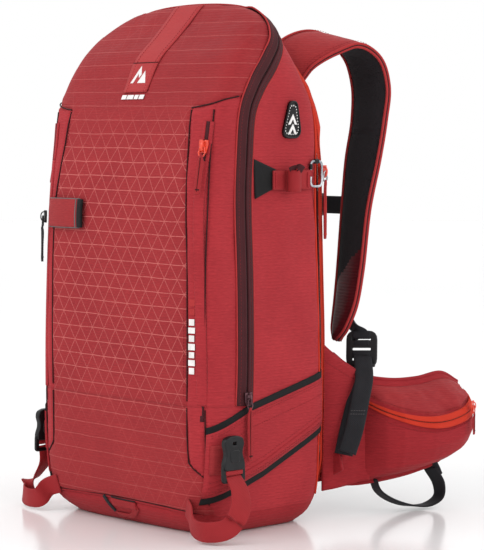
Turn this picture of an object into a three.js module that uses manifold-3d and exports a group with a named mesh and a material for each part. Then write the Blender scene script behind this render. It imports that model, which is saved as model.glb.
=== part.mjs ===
// Avalanche airbag backpack for ski touring, 25 litres, standing on its base.
// Units are millimetres. +Z is up, +X is the wearer's right and +Y points at the wearer's back.
// The origin is the middle of the flat sole under the base.
import * as THREE from "three";
import { mergeVertices } from "three/addons/utils/BufferGeometryUtils.js";
import Module from "manifold-3d";

const wasm = await Module();
wasm.setup();

// ---------- driving dimensions ----------
const HEIGHT = 550;
const WALL = 4; // padded wall of the bag
const GAP = 0.6; // clearance between neighbouring pieces
const SKIN = 1.6; // how far trim stands clear of the faceted wall
const RING_POINTS = 44;
const LID_FOLD = 134; // height of the fabric fold that the front lid opens about
const FRONT_ZIP_TOP = 398; // where the right front slider is parked
const FRONT_ZIP_LEFT = 322; // where the left one is parked
const WEBBING = 20; // width of the harness webbing
const STRAP_WIDTH = 60;
const STRAP_THICK = 14;

// The bag's outer skin: height, half width, front y, rear y, middle y, front squareness, rear squareness.
const STATIONS = [
  [0, 118, -66, 76, 3, 5.5, 6],
  [12, 130, -78, 83, 1, 6.5, 8],
  [32, 137, -85, 87, 0, 7.5, 9],
  [80, 141, -89, 88, 0, 7.5, 9],
  [160, 142, -90, 88, 0, 7.5, 9],
  [250, 139, -90, 88, 0, 7.5, 9],
  [340, 135, -88, 88, 0, 7.5, 9],
  [400, 137, -78, 88, 0, 8, 8],
  [435, 138, -71, 88, 0, 8.5, 6],
  [462, 137, -58, 88, 1, 9, 4],
  [490, 132, -43, 85, 4, 8, 2.7],
  [513, 126, -19, 75, 7, 8, 2.1],
  [530, 112, -2, 58, 13, 6, 2],
  [541, 92, 8, 45, 17, 3.4, 2],
  [547, 64, 14, 38, 20, 2.5, 2],
  [HEIGHT, 30, 18, 33, 22, 2, 2],
];

// Where the main zip runs, seen from the side: height and y.
const ZIP_LINE = [
  [100, -38],
  [180, -34],
  [280, -31.5],
  [400, -30.5],
  [436, -27],
  [462, -13],
  [482, 5],
  [505, 23],
  [530, 33],
  [560, 36],
];

// The back panel's outline: half width at each height.
const BACK_OUTLINE = [
  [30, 114],
  [60, 125],
  [200, 127],
  [320, 123],
  [385, 121],
  [430, 113],
  [462, 97],
  [490, 72],
  [507, 40],
  [512, 0],
];

// The right shoulder strap: middle point, then the direction of its width, from the neck side outwards.
const STRAP_ROUTE = [
  { at: [62, 103, 476], across: [0.85, 0, -0.52], width: STRAP_WIDTH },
  { at: [70, 116, 497], across: [0.82, -0.1, -0.56], width: STRAP_WIDTH },
  { at: [80, 142, 512], across: [0.85, -0.15, -0.48], width: STRAP_WIDTH },
  { at: [88, 170, 509], across: [0.95, -0.1, -0.26], width: STRAP_WIDTH },
  { at: [94, 191, 492], across: [0.98, -0.08, -0.12], width: STRAP_WIDTH },
  { at: [97, 200, 468], across: [0.99, -0.1, -0.06], width: STRAP_WIDTH },
  { at: [98, 195, 430], across: [0.98, -0.15, 0], width: STRAP_WIDTH },
  { at: [98, 182, 385], across: [0.98, -0.18, 0], width: STRAP_WIDTH - 2 },
  { at: [99, 170, 330], across: [0.96, -0.26, 0], width: STRAP_WIDTH - 5 },
  { at: [104, 156, 262], across: [0.95, -0.3, 0], width: STRAP_WIDTH - 7 },
  { at: [108, 148, 226], across: [0.95, -0.3, 0.05], width: STRAP_WIDTH - 14 },
  { at: [111, 145, 204], across: [0.95, -0.28, 0.1], width: STRAP_WIDTH - 28 },
];

// The right hip wing in plan, with its lowest and highest point at each place.
const WING_ROUTE = [
  { at: [117, 116], low: 34, high: 176 },
  { at: [131, 140], low: 33, high: 154 },
  { at: [146, 172], low: 37, high: 146 },
  { at: [156, 206], low: 43, high: 146 },
  { at: [161, 240], low: 53, high: 150 },
  { at: [159, 270], low: 76, high: 138 },
];
const WING_THICK = 11;
const POCKET_DEPTH = 34;
const HIP_SLIDER = [202, 246, 116]; // where the right hip pocket's slider is parked

const COLOURS = {
  shell: 0xa8323a,
  pattern: 0xad3f44,
  maroon: 0x542429,
  orange: 0xc8381e,
  black: 0x26262a,
  metal: 0xaab2b8,
  orangePaint: 0xd8401c,
};

// ---------- small tools ----------
const vec = (x, y, z) => new THREE.Vector3(x, y, z);
const root = new THREE.Group();

function material(colour, roughness = 0.85, metalness = 0) {
  return new THREE.MeshStandardMaterial({ color: colour, roughness, metalness });
}

const CLOTH = material(COLOURS.shell);
const PATTERNED = material(COLOURS.pattern, 0.7);
const MAROON = material(COLOURS.maroon);
const ORANGE = material(COLOURS.orange);
const BLACK_CLOTH = material(COLOURS.black, 0.9);
const PLASTIC = material(COLOURS.black, 0.45);
const METAL = material(COLOURS.metal, 0.35, 0.9);
const GUNMETAL = material(COLOURS.maroon, 0.4, 0.6);
const PAINTED = material(COLOURS.orangePaint, 0.4, 0.3);

function addPart(name, geometry, look) {
  const mesh = new THREE.Mesh(geometry, look);
  mesh.name = name;
  root.add(mesh);
  return mesh;
}

function toSolid(geometry) {
  const bare = geometry.index ? geometry.toNonIndexed() : geometry.clone();
  const merged = mergeVertices(
    new THREE.BufferGeometry().setAttribute("position", bare.getAttribute("position")),
    1e-3,
  );
  return new wasm.Manifold(
    new wasm.Mesh({
      numProp: 3,
      vertProperties: new Float32Array(merged.attributes.position.array),
      triVerts: new Uint32Array(merged.index.array),
    }),
  );
}

function toGeometry(solid) {
  const mesh = solid.getMesh();
  return new THREE.BufferGeometry()
    .setAttribute("position", new THREE.BufferAttribute(new Float32Array(mesh.vertProperties), 3))
    .setIndex(new THREE.BufferAttribute(new Uint32Array(mesh.triVerts), 1));
}

const without = (a, ...others) =>
  toGeometry(others.reduce((solid, b) => solid.subtract(toSolid(b)), toSolid(a)));
const within = (a, b) => toGeometry(toSolid(a).intersect(toSolid(b)));
const joined = (a, ...others) =>
  toGeometry(others.reduce((solid, b) => solid.add(toSolid(b)), toSolid(a)));

function mirrored(geometry) {
  const copy = geometry.index ? geometry.toNonIndexed() : geometry.clone();
  const p = copy.getAttribute("position");
  for (let i = 0; i < p.count; i++) p.setX(i, -p.getX(i));
  return turned(copy);
}

// Adds a piece on the wearer's right and its mirror image on the left.
function addPair(name, geometry, look) {
  addPart(name + "_right", geometry, look);
  addPart(name + "_left", mirrored(geometry), look);
}

// A closed solid through rings of points, each ring anticlockwise seen from the last ring.
function loft(rings) {
  const positions = [];
  const face = (a, b, c) => positions.push(...a.toArray(), ...b.toArray(), ...c.toArray());
  const count = rings[0].length;
  for (let r = 0; r + 1 < rings.length; r++)
    for (let i = 0; i < count; i++) {
      const j = (i + 1) % count;
      face(rings[r][i], rings[r][j], rings[r + 1][j]);
      face(rings[r][i], rings[r + 1][j], rings[r + 1][i]);
    }
  const first = rings[0];
  const last = rings[rings.length - 1];
  for (let i = 1; i + 1 < count; i++) {
    face(first[0], first[i + 1], first[i]);
    face(last[0], last[i], last[i + 1]);
  }
  return new THREE.BufferGeometry().setAttribute(
    "position",
    new THREE.Float32BufferAttribute(positions, 3),
  );
}

// The direction a strap's face looks in at one of its stops.
function faceAt(stops, i) {
  const before = stops[Math.max(i - 1, 0)].at;
  const after = stops[Math.min(i + 1, stops.length - 1)].at;
  const along = vec(...after).sub(vec(...before)).normalize();
  const side = vec(...stops[i].across);
  side.addScaledVector(along, -side.dot(along)).normalize();
  return { side, face: along.clone().cross(side) };
}

// The same route moved along its face direction, with another width.
function raised(stops, lift, width) {
  return stops.map((stop, i) => ({
    at: vec(...stop.at).addScaledVector(faceAt(stops, i).face, lift).toArray(),
    across: stop.across,
    width,
  }));
}

// A flat strap along a route: each stop has its middle, the direction of its width and the width itself.
function ribbon(stops, thickness) {
  const rings = stops.map(({ at, width }, i) => {
    const { side, face } = faceAt(stops, i);
    const corner = (s, f) =>
      vec(...at)
        .addScaledVector(side, (s * width) / 2)
        .addScaledVector(face, (f * thickness) / 2);
    return [corner(-1, -1), corner(1, -1), corner(1, 1), corner(-1, 1)];
  });
  return loft(rings);
}

// Points of a smooth curve through hand-set stops, with the width direction and width carried along.
function eased(stops, steps) {
  const middle = new THREE.CatmullRomCurve3(stops.map((s) => vec(...s.at)), false, "centripetal");
  const across = new THREE.CatmullRomCurve3(stops.map((s) => vec(...s.across)));
  return Array.from({ length: steps + 1 }, (_, i) => {
    const t = i / steps;
    const place = t * (stops.length - 1);
    const low = Math.min(Math.floor(place), stops.length - 2);
    const width = THREE.MathUtils.lerp(stops[low].width, stops[low + 1].width, place - low);
    return { at: middle.getPoint(t).toArray(), across: across.getPoint(t).toArray(), width };
  });
}

// Smooth values between the rows of a table whose first column rises.
function rowAt(table, key) {
  let i = 0;
  while (i + 2 < table.length && table[i + 1][0] < key) i++;
  const [a, b] = [table[i], table[i + 1]];
  const before = table[Math.max(i - 1, 0)];
  const after = table[Math.min(i + 2, table.length - 1)];
  const t = THREE.MathUtils.clamp((key - a[0]) / (b[0] - a[0]), 0, 1);
  return a.slice(1).map((value, k) => {
    const c = k + 1;
    const slopeA = ((b[c] - before[c]) / (b[0] - before[0])) * (b[0] - a[0]);
    const slopeB = ((after[c] - a[c]) / (after[0] - a[0])) * (b[0] - a[0]);
    const t2 = t * t;
    const t3 = t2 * t;
    return (
      (2 * t3 - 3 * t2 + 1) * value +
      (t3 - 2 * t2 + t) * slopeA +
      (3 * t2 - 2 * t3) * b[c] +
      (t3 - t2) * slopeB
    );
  });
}

// ---------- the bag's skin ----------
function skinPoint(angle, z, inset = 0) {
  const [half, front, rear, middle, squareFront, squareRear] = rowAt(STATIONS, z);
  const [c, s] = [Math.cos(angle), Math.sin(angle)];
  const power = 2 / (s < 0 ? squareFront : squareRear);
  const reach = s < 0 ? middle - front : rear - middle;
  return vec(
    (half - inset) * Math.sign(c) * Math.abs(c) ** power,
    middle + (reach - inset) * Math.sign(s) * Math.abs(s) ** power,
    z,
  );
}

const DENSE = 240;

// Evenly spaced points round the bag at one height, from the middle of the front towards the wearer's right.
function skinRing(z, count = RING_POINTS, inset = 0) {
  const dense = Array.from({ length: DENSE + 1 }, (_, i) =>
    skinPoint(-Math.PI / 2 + (2 * Math.PI * i) / DENSE, z, inset),
  );
  const lengths = [0];
  for (let i = 1; i <= DENSE; i++) lengths.push(lengths[i - 1] + dense[i].distanceTo(dense[i - 1]));
  return Array.from({ length: count }, (_, k) => {
    const want = (lengths[DENSE] * k) / count;
    let i = 0;
    while (lengths[i + 1] < want) i++;
    return dense[i].clone().lerp(dense[i + 1], (want - lengths[i]) / (lengths[i + 1] - lengths[i]));
  });
}

// x of the bag's right side wall at a given y and height.
function sideX(y, z) {
  const [half, front, rear, middle, squareFront, squareRear] = rowAt(STATIONS, z);
  const share = y < middle ? (middle - y) / (middle - front) : (y - middle) / (rear - middle);
  const square = y < middle ? squareFront : squareRear;
  return half * Math.max(0, 1 - Math.min(share, 1) ** square) ** (1 / square);
}

// y of the bag's front wall at a given x and height.
function frontY(x, z) {
  const [half, front, , middle, square] = rowAt(STATIONS, z);
  const share = Math.min(Math.abs(x) / half, 1);
  return middle - (middle - front) * Math.max(0, 1 - share ** square) ** (1 / square);
}

const sidePoint = (y, z) => vec(sideX(y, z), y, z);
const frontPoint = (x, z) => vec(x, frontY(x, z), z);

// The outward normal of a surface given by two numbers.
function normalOf(surface, a, b, away) {
  const step = 0.5;
  const da = surface(a + step, b).sub(surface(a - step, b));
  const db = surface(a, b + step).sub(surface(a, b - step));
  const n = da.cross(db).normalize();
  return n.dot(away) < 0 ? n.negate() : n;
}

const sideNormal = (y, z) => normalOf(sidePoint, y, z, vec(1, 0, 0.01));
const frontNormal = (x, z) => normalOf(frontPoint, x, z, vec(0, -1, 0.01));

// A slab that follows a surface: rows of points, lifted by low and high along their normals.
function slab(rows, low, high) {
  const lifted = (lift) => rows.map((row) => row.map(({ p, n }) => p.clone().addScaledVector(n, lift)));
  const [under, over] = [lifted(low), lifted(high)];
  const positions = [];
  const face = (a, b, c) => positions.push(...a.toArray(), ...b.toArray(), ...c.toArray());
  const quad = (a, b, c, d) => {
    face(a, b, c);
    face(a, c, d);
  };
  const [m, n] = [rows.length - 1, rows[0].length - 1];
  for (let i = 0; i < m; i++)
    for (let j = 0; j < n; j++) {
      quad(over[i][j], over[i][j + 1], over[i + 1][j + 1], over[i + 1][j]);
      quad(under[i][j], under[i + 1][j], under[i + 1][j + 1], under[i][j + 1]);
    }
  for (let i = 0; i < m; i++) {
    quad(over[i][0], over[i + 1][0], under[i + 1][0], under[i][0]);
    quad(over[i][n], under[i][n], under[i + 1][n], over[i + 1][n]);
  }
  for (let j = 0; j < n; j++) {
    quad(over[0][j], under[0][j], under[0][j + 1], over[0][j + 1]);
    quad(over[m][j], over[m][j + 1], under[m][j + 1], under[m][j]);
  }
  const geometry = new THREE.BufferGeometry().setAttribute(
    "position",
    new THREE.Float32BufferAttribute(positions, 3),
  );
  return toSolid(geometry).volume() < 0 ? turned(geometry) : geometry;
}

// The same surface with its faces pointing the other way.
function turned(geometry) {
  const p = geometry.getAttribute("position");
  for (let i = 0; i < p.count; i += 3) {
    const [x, y, z] = [p.getX(i + 1), p.getY(i + 1), p.getZ(i + 1)];
    p.setXYZ(i + 1, p.getX(i + 2), p.getY(i + 2), p.getZ(i + 2));
    p.setXYZ(i + 2, x, y, z);
  }
  return geometry;
}

// A grid of skin points, on the right side (y and z) or on the front (x and z).
function grid(point, normal, across, down, heightAt) {
  return Array.from({ length: down + 1 }, (_, i) =>
    Array.from({ length: across + 1 }, (_, j) => {
      const [a, z] = heightAt(j / across, i / down);
      return { p: point(a, z), n: normal(a, z) };
    }),
  );
}

// A prism along X from an outline in Y and Z, or along Y from an outline in X and Z.
function prismX(outline, width) {
  const shape = new THREE.Shape(outline.map(([y, z]) => new THREE.Vector2(y, z)));
  const solid = new THREE.ExtrudeGeometry(shape, { depth: width, bevelEnabled: false });
  return solid.applyMatrix4(
    new THREE.Matrix4().makeBasis(vec(0, 1, 0), vec(0, 0, 1), vec(1, 0, 0)).setPosition(-width / 2, 0, 0),
  );
}

function prismY(outline, from, to) {
  const shape = new THREE.Shape(outline.map(([x, z]) => new THREE.Vector2(x, z)));
  const solid = new THREE.ExtrudeGeometry(shape, { depth: to - from, bevelEnabled: false });
  return solid.applyMatrix4(
    new THREE.Matrix4().makeBasis(vec(1, 0, 0), vec(0, 0, 1), vec(0, -1, 0)).setPosition(0, to, 0),
  );
}

const block = (width, depth, height, x, y, z) =>
  new THREE.BoxGeometry(width, depth, height).translate(x, y, z);

// Moves a piece drawn at the origin, with its width on X, its face on Y and its top on Z, to its place.
function placed(geometry, at, up, out) {
  const upward = vec(...up).normalize();
  const outward = vec(...out);
  outward.addScaledVector(upward, -outward.dot(upward)).normalize();
  const across = outward.clone().cross(upward);
  return geometry.applyMatrix4(
    new THREE.Matrix4().makeBasis(across, outward, upward).setPosition(vec(...at)),
  );
}

const backHalf = (z, inset = 0) => Math.max(0, rowAt(BACK_OUTLINE, z)[0] - inset);

// The back panel's arch as an outline in X and Z, drawn in by inset.
function archOutline(inset, bottom) {
  const heights = [bottom, 120, 200, 320, 385, 420, 450, 475, 495];
  const right = heights.map((z) => [backHalf(z, inset), z]);
  const crown = [
    [40 - inset / 3, 507 - inset],
    [14, 511.5 - inset],
  ];
  const side = [...right, ...crown];
  return [...side, ...side.map(([x, z]) => [-x, z]).reverse()];
}

const zipY = (z) => rowAt(ZIP_LINE, z)[0];

// ---------- the bag: main shell, lid, base ----------
function buildBag() {
  const outer = loft(STATIONS.map(([z]) => skinRing(z)));
  const cavityTop = HEIGHT - 6;
  const cavity = loft(
    STATIONS.filter(([z]) => z > 0 && z < HEIGHT)
      .map(([z]) => (z === 12 ? 6 : Math.min(z, cavityTop)))
      .map((z) => skinRing(z, RING_POINTS, z > 500 ? WALL * 1.6 : WALL)),
  );
  const shell = without(outer, cavity);
  const zipLine = [134, 180, 250, 400, 436, 450, 462, 482, 505, 530, 560];
  const lidRegion = (gap) =>
    prismX(
      [
        [-200, LID_FOLD + gap],
        [zipY(LID_FOLD) - gap, LID_FOLD + gap],
        ...zipLine.slice(1).map((z) => [zipY(z) - gap, z]),
        [-200, 560],
      ],
      400,
    );
  addPart("front_lid", within(shell, lidRegion(GAP / 2)), PATTERNED);
  addPart(
    "main_shell",
    without(shell, lidRegion(-GAP / 2), prismY(archOutline(12, 40), 60, 120)),
    CLOTH,
  );
  // The rear wall of the tool pocket rides on the lid and closes it towards the main compartment.
  const heights = [146, 250, 340, 400, 432];
  const rows = heights.map((z) => {
    const half = sideX(-38, z) - WALL - 3;
    return [-1, -0.5, 0, 0.5, 1].map((s) => ({ p: vec(s * half, -38, z), n: vec(0, 1, 0) }));
  });
  addPart("tool_pocket_divider", slab(rows, -1, 1), BLACK_CLOTH);
}

// ---------- zips ----------
// Stops along the main zip on the right, from the fold to the top, each with its skin normal.
function mainZipStops() {
  const stops = [];
  const straight = [140, 200, 260, 320, 370, 410, 436, 450, 462, 475, 490, 505, 518, 529, 537];
  for (const z of straight) stops.push({ p: sidePoint(zipY(z), z), n: sideNormal(zipY(z), z) });
  const startX = stops[stops.length - 1].p.x;
  for (const share of [0.85, 0.66, 0.44, 0.22, 0]) {
    const x = startX * share;
    let [low, high] = [530, HEIGHT - 0.2];
    for (let i = 0; i < 40; i++) {
      const z = (low + high) / 2;
      if (sideX(zipY(z), z) > x) low = z;
      else high = z;
    }
    const n = vec(x / 260, 0.12 + 0.35 * (x / 80) ** 2, 1).normalize();
    stops.push({ p: vec(x, zipY(low), low), n });
  }
  const left = stops
    .slice(0, -1)
    .reverse()
    .map(({ p, n }) => ({ p: vec(-p.x, p.y, p.z), n: vec(-n.x, n.y, n.z) }));
  return [...stops, ...left];
}

// A strip of zip tape beside the zip line, from one offset to the other across it.
function tape(stops, from, to, low, high) {
  const rows = stops.map(({ p, n }, i) => {
    const along = stops[Math.min(i + 1, stops.length - 1)].p
      .clone()
      .sub(stops[Math.max(i - 1, 0)].p)
      .normalize();
    const across = along.clone().cross(n).normalize();
    return [from, to].map((d) => ({ p: p.clone().addScaledVector(across, d), n }));
  });
  return slab(rows, low, high);
}

// A slider with its bridge, drawn with its tape side at y = 0; y points out and z along the zip.
function sliderShape(scale = 1) {
  const plate = block(9, 2.4, 13, 0, 1.2, 0);
  const bridge = block(3, 4.4, 9, 0, 4.4, 0);
  const hole = block(8, 2.6, 4.2, 0, 3.9, 0);
  return without(joined(plate, bridge), hole).scale(scale, scale, scale);
}

const PIVOT_OUT = 3.9; // how far a pull's crossbar lies above the tape
// A pull: a metal ring whose crossbar lies in the bridge, and a fabric tab of the given length.
function pullShape(tabLength, tabWidth = 7, scale = 1) {
  const ring = block(7.4, 1.3, 13, 0, 0, -5.6);
  const eye = block(4.4, 4, 6.6, 0, 0, -4.2);
  const tab = block(tabWidth, 2.2, tabLength, 0, 0, -11.5 - tabLength / 2);
  return joined(without(ring, eye), tab).scale(scale, scale, scale);
}

// A slider on its zip, and its pull hanging down from it.
function addZipper(name, at, up, out, tabLength, looks, scale = 1, hang = [0, 0, 1]) {
  const [sliderLook, pullLook] = looks;
  addPart(name + "_slider", placed(sliderShape(scale), at, up, out), sliderLook);
  const pivot = vec(...at).addScaledVector(vec(...out).normalize(), PIVOT_OUT * scale);
  addPart(name + "_pull", placed(pullShape(tabLength, 7, scale), pivot.toArray(), hang, out), pullLook);
}

function buildZips() {
  const stops = mainZipStops();
  addPart("main_zip_tape_body", tape(stops, 0.8, 10.5, SKIN, SKIN + 1), MAROON);
  addPart("main_zip_tape_lid", tape(stops, -12.5, -0.8, SKIN + 0.6, SKIN + 1.6), MAROON);
  addZipper("main_zip", [145.4, -35.6, 141], [-4, 5.5, 259], [1, 0, 0.014], 52, [GUNMETAL, CLOTH]);

  // The tool pocket's two zips run down the front corners.
  const corner = (z) => {
    const x = 0.9 * rowAt(STATIONS, z)[0];
    return { p: frontPoint(x, z), n: frontNormal(x, z) };
  };
  const front = [150, 200, 250, 300, 350, 390, 422].map(corner);
  addPair("front_zip_tape", tape(front, -5, 5, SKIN + 0.4, SKIN + 1.4), CLOTH);
  const parked = (z, side, lean) => {
    const { p, n } = corner(z);
    p.addScaledVector(n, SKIN + 2.2);
    return [[side * p.x, p.y, p.z], [0, lean, 1], [side * n.x, n.y, n.z]];
  };
  const pullLean = [0, 0.155, 1];
  addZipper("front_zip_right", ...parked(FRONT_ZIP_TOP, 1, 0.155), 38, [PAINTED, CLOTH], 1, pullLean);
  addZipper("front_zip_left", ...parked(FRONT_ZIP_LEFT, -1, 0.02), 38, [PLASTIC, BLACK_CLOTH]);
}

// ---------- trim on the bag ----------
function buildTrim() {
  // A stretch band for ski tails wraps each lower side, rising from the front corner to the back.
  const bandRows = Array.from({ length: 4 }, (_, i) =>
    Array.from({ length: 9 }, (_, j) => {
      const t = j / 8;
      const y = THREE.MathUtils.lerp(-68, 80, t);
      const low = THREE.MathUtils.lerp(44, 106, t);
      const high = THREE.MathUtils.lerp(110, 164, t);
      const z = THREE.MathUtils.lerp(low, high, i / 3);
      return { p: sidePoint(y, z), n: sideNormal(y, z) };
    }),
  );
  const lidClear = prismX([[-120, 129], [-26, 129], [-26, 180], [-120, 180]], 400);
  addPair("ski_band", without(slab(bandRows, SKIN, SKIN + 2.4), lidClear), CLOTH);

  // The reflector badge high on the right side.
  const badgeRows = grid(sidePoint, sideNormal, 3, 4, (s, t) => {
    const half = THREE.MathUtils.lerp(13, 6, t);
    return [36 + (s - 0.5) * 2 * half + t * 4, 406 + t * 36];
  });
  addPart("reflector_badge", slab(badgeRows, SKIN, SKIN + 2), PLASTIC);

  // Compression webbing across each upper side ends in an open hook. The right one's spare end is rolled up.
  const strip = (ys, z, lift) =>
    ribbon(
      ys.map((y) => ({
        at: sidePoint(y, z).add(vec(lift, 0, 0)).toArray(),
        across: [0, 0, 1],
        width: WEBBING,
      })),
      1.6,
    );
  const run = strip([-12, 8, 28, 48, 60], 364, 3.4);
  const roll = new THREE.CylinderGeometry(9, 9, 24, 14);
  roll.rotateX(Math.PI / 2);
  roll.translate(sideX(28, 364) + 12, 28, 363);
  addPart("compression_webbing_right", joined(run, roll), CLOTH);
  const spare = ribbon(
    [
      { at: [-140, -8, 364], across: [0, 0, 1], width: WEBBING },
      { at: [-149, -30, 366], across: [0, 0, 1], width: WEBBING },
      { at: [-158, -52, 368], across: [0.2, 0, 1], width: WEBBING },
    ],
    3,
  );
  addPart("compression_webbing_left", joined(mirrored(run), spare), CLOTH);
  const hookOuter = [[0, -13], [16, -13], [16, 13], [0, 13], [0, 4], [4, 4]];
  const hookInner = [[4, 9], [12, 9], [12, -9], [4, -9], [4, -4], [0, -4]];
  const hookOutline = [...hookOuter, ...hookInner];
  const hook = prismY(hookOutline, -1.4, 1.4).rotateZ(Math.PI / 2).translate(sideX(70, 364) + 4.6, 62, 370);
  addPair("compression_hook", hook, METAL);

  // The axe-holder flap on the left of the front hangs on its sewn edge.
  const flapRows = grid(frontPoint, frontNormal, 4, 2, (s, t) => [-114 + s * 56, 312 + t * 30]);
  addPart("axe_holder_flap", slab(flapRows, SKIN + 1.2, SKIN + 6), CLOTH);

  // The axe loop low on the front.
  const loopRows = grid(frontPoint, frontNormal, 2, 2, (s, t) => [-8 + s * 30 + t * -6, 12 + t * 16]);
  addPart("axe_loop", slab(loopRows, SKIN, SKIN + 1.8), CLOTH);
}

// ---------- ski loops and their buckle ----------
function buildLoops() {
  const route = [
    { at: [117, -88.5, 26], across: [0.25, -0.1, 1], width: 22 },
    { at: [134, -100, 15], across: [0.3, -0.2, 1], width: 22 },
    { at: [153, -101, 12.5], across: [0.1, -0.1, 1], width: 22 },
    { at: [168, -84, 16], across: [-0.2, 0.1, 1], width: 22 },
    { at: [171, -66, 32], across: [0.4, 1, 0.2], width: 22 },
    { at: [164, -62, 50], across: [0.1, 1, 0.1], width: 22 },
    { at: [154, -64, 64], across: [0, 1, 0], width: 22 },
  ];
  addPair("ski_loop", ribbon(eased(route, 16), 2), CLOTH);
  const housing = without(block(26, 7, 28, 0, 0, 14), block(9, 4, 9, 0, 3.5, 22));
  addPair("loop_buckle", placed(housing, [153.5, -64, 72], [-0.02, 0, 1], [1, 0, 0]), PLASTIC);
}

// ---------- back panel and harness ----------
function buildBackPanel() {
  const sheet = prismY(archOutline(2.5, 32), 89.2, 92.6);
  const upright = (x, y, low, high) => {
    return { at: [x, y, (low + high) / 2], across: [0, 0, 1], width: high - low };
  };
  const gusset = ribbon(
    [
      upright(105, 91, 36, 70),
      upright(108, 100, 38, 70),
      upright(128, 102, 46, 70),
      upright(145, 102, 54, 70),
    ],
    3,
  );
  addPart("back_panel", joined(sheet, gusset, mirrored(gusset)), CLOTH);
  addPart("frame_sheet", prismY(archOutline(22, 60), 86, 88.6), BLACK_CLOTH);

  const tapeStops = (() => {
    const heights = [44, 90, 150, 220, 300, 385, 420, 450, 475, 492, 505];
    const right = heights.map((z) => vec(backHalf(z), 91, z));
    return [...right, vec(0, 91, 513), ...right.map((p) => vec(-p.x, p.y, p.z)).reverse()];
  })();
  const route = tapeStops.map((p, i) => {
    const along = tapeStops[Math.min(i + 1, tapeStops.length - 1)].clone().sub(tapeStops[Math.max(i - 1, 0)]);
    const out = along.normalize().cross(vec(0, 1, 0)).negate();
    if (out.dot(vec(p.x, 0, p.z - 200)) < 0) out.negate();
    return { at: p.clone().addScaledVector(out, 1.6).toArray(), across: [0, 1, 0], width: 9 };
  });
  addPart("back_zip_tape", ribbon(route, 1.6), ORANGE);
  addZipper("back_zip", [125.8, 91, 372], [0, 0, 1], [1, 0.15, 0], 40, [PAINTED, CLOTH]);

  // The padded, ridged back pad, thicker in the lumbar zone and narrower at the waist.
  const padOutline = (inset) => {
    const lower = [[78, 62], [96, 90], [98, 200], [96, 300]];
    const side = [...lower, [101, 380], [103, 420], [92, 444], [60, 452], [30, 456]];
    const right = side.map(([x, z]) => [x - inset, z === 62 ? z + inset : z - (z > 440 ? inset : 0)]);
    return [...right, ...right.map(([x, z]) => [-x, z]).reverse()];
  };
  const ringAt = (inset, y) => padOutline(inset).map(([x, z]) => vec(x, y, z)).reverse();
  addPart("back_pad", loft([ringAt(0, 93.2), ringAt(0, 103), ringAt(9, 110)]), BLACK_CLOTH);

  const hold = (x, z, lean) => ({ at: [x, 104, z], across: [0, 1, lean], width: 14 });
  const handle = [hold(-30, 494, 0.3), hold(-29, 512, 0.2), hold(-19, 524, 0), hold(0, 528, 0)];
  const other = handle.slice(0, 3).reverse();
  handle.push(...other.map((stop) => ({ ...stop, at: [-stop.at[0], 104, stop.at[2]] })));
  addPart("haul_loop", ribbon(handle, 2.4), CLOTH);
}

function buildShoulderStraps() {
  addPair("shoulder_strap", ribbon(eased(STRAP_ROUTE, 26), STRAP_THICK), CLOTH);

  // A ladder lock hangs behind the tip of each strap; its webbing runs to the anchor gusset.
  const plate = block(32, 4.5, 38, 0, 0, 0);
  const slots = [-11, 0, 11].map((z) => block(23, 8, 5, 0, 0, z));
  const lock = placed(without(plate, ...slots), [129, 149, 179], [-0.1, 0.12, 1], [0.5, -0.86, 0]);
  addPair("ladder_lock", lock, PLASTIC);
  // One webbing rises from the gusset to the lock's middle bar, and its free end hangs back down.
  const facing = { across: [0.72, 0.68, 0], width: WEBBING };
  const rising = [
    { at: [146, 104, 70], ...facing },
    { at: [146, 112, 96], ...facing },
    { at: [144, 127, 132], ...facing },
    { at: [141, 138, 156], ...facing },
  ];
  const hanging = [
    { at: [141, 138, 154], ...facing },
    { at: [149, 132, 151], ...facing },
    { at: [155, 120, 128], ...facing },
    { at: [158, 108, 98], ...facing },
    { at: [157, 98, 74], ...facing },
  ];
  addPair("adjuster_webbing", joined(ribbon(rising, 1.8), ribbon(hanging, 3.2)), BLACK_CLOTH);
}

function buildSternumStrap() {
  const z = 333;
  const half = (x) => [
    { at: [x * 80, 187, z], across: [0, 0, 1], width: WEBBING },
    { at: [x * 66, 191, z], across: [0, 0, 1], width: WEBBING },
    { at: [x * 46, 194, z], across: [0, 0, 1], width: WEBBING },
    { at: [x * 26, 196, z], across: [0, 0, 1], width: WEBBING },
  ];
  addPart("sternum_webbing_right", ribbon(half(1), 1.8), BLACK_CLOTH);
  addPart("sternum_webbing_left", ribbon(half(-1).reverse(), 1.8), BLACK_CLOTH);
  const housing = without(block(34, 9, 25, 6, 196, z), block(26, 5.4, 18, -1, 196, z));
  addPart("sternum_buckle_female", housing, PLASTIC);
  const tongue = joined(
    block(12, 8, 24, -18.2, 196, z),
    block(20, 3.6, 4, -2.8, 196, z + 6),
    block(20, 3.6, 4, -2.8, 196, z - 6),
  );
  addPart("sternum_buckle_male", tongue, PLASTIC);
}

// A slab along the wing's route between two offsets from its middle line, leaning with its heights.
function wingRings(from, to, lowShare, highShare, stops) {
  return stops.map((stop, i) => {
    const before = stops[Math.max(i - 1, 0)].at;
    const after = stops[Math.min(i + 1, stops.length - 1)].at;
    const along = new THREE.Vector2(after[0] - before[0], after[1] - before[1]).normalize();
    const out = [along.y, -along.x];
    const point = (d, z) => vec(stop.at[0] + out[0] * d, stop.at[1] + out[1] * d, z);
    const low = THREE.MathUtils.lerp(stop.low, stop.high, lowShare);
    const high = THREE.MathUtils.lerp(stop.low, stop.high, highShare);
    return [point(from, low), point(from, high), point(to, high), point(to, low)];
  });
}

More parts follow.
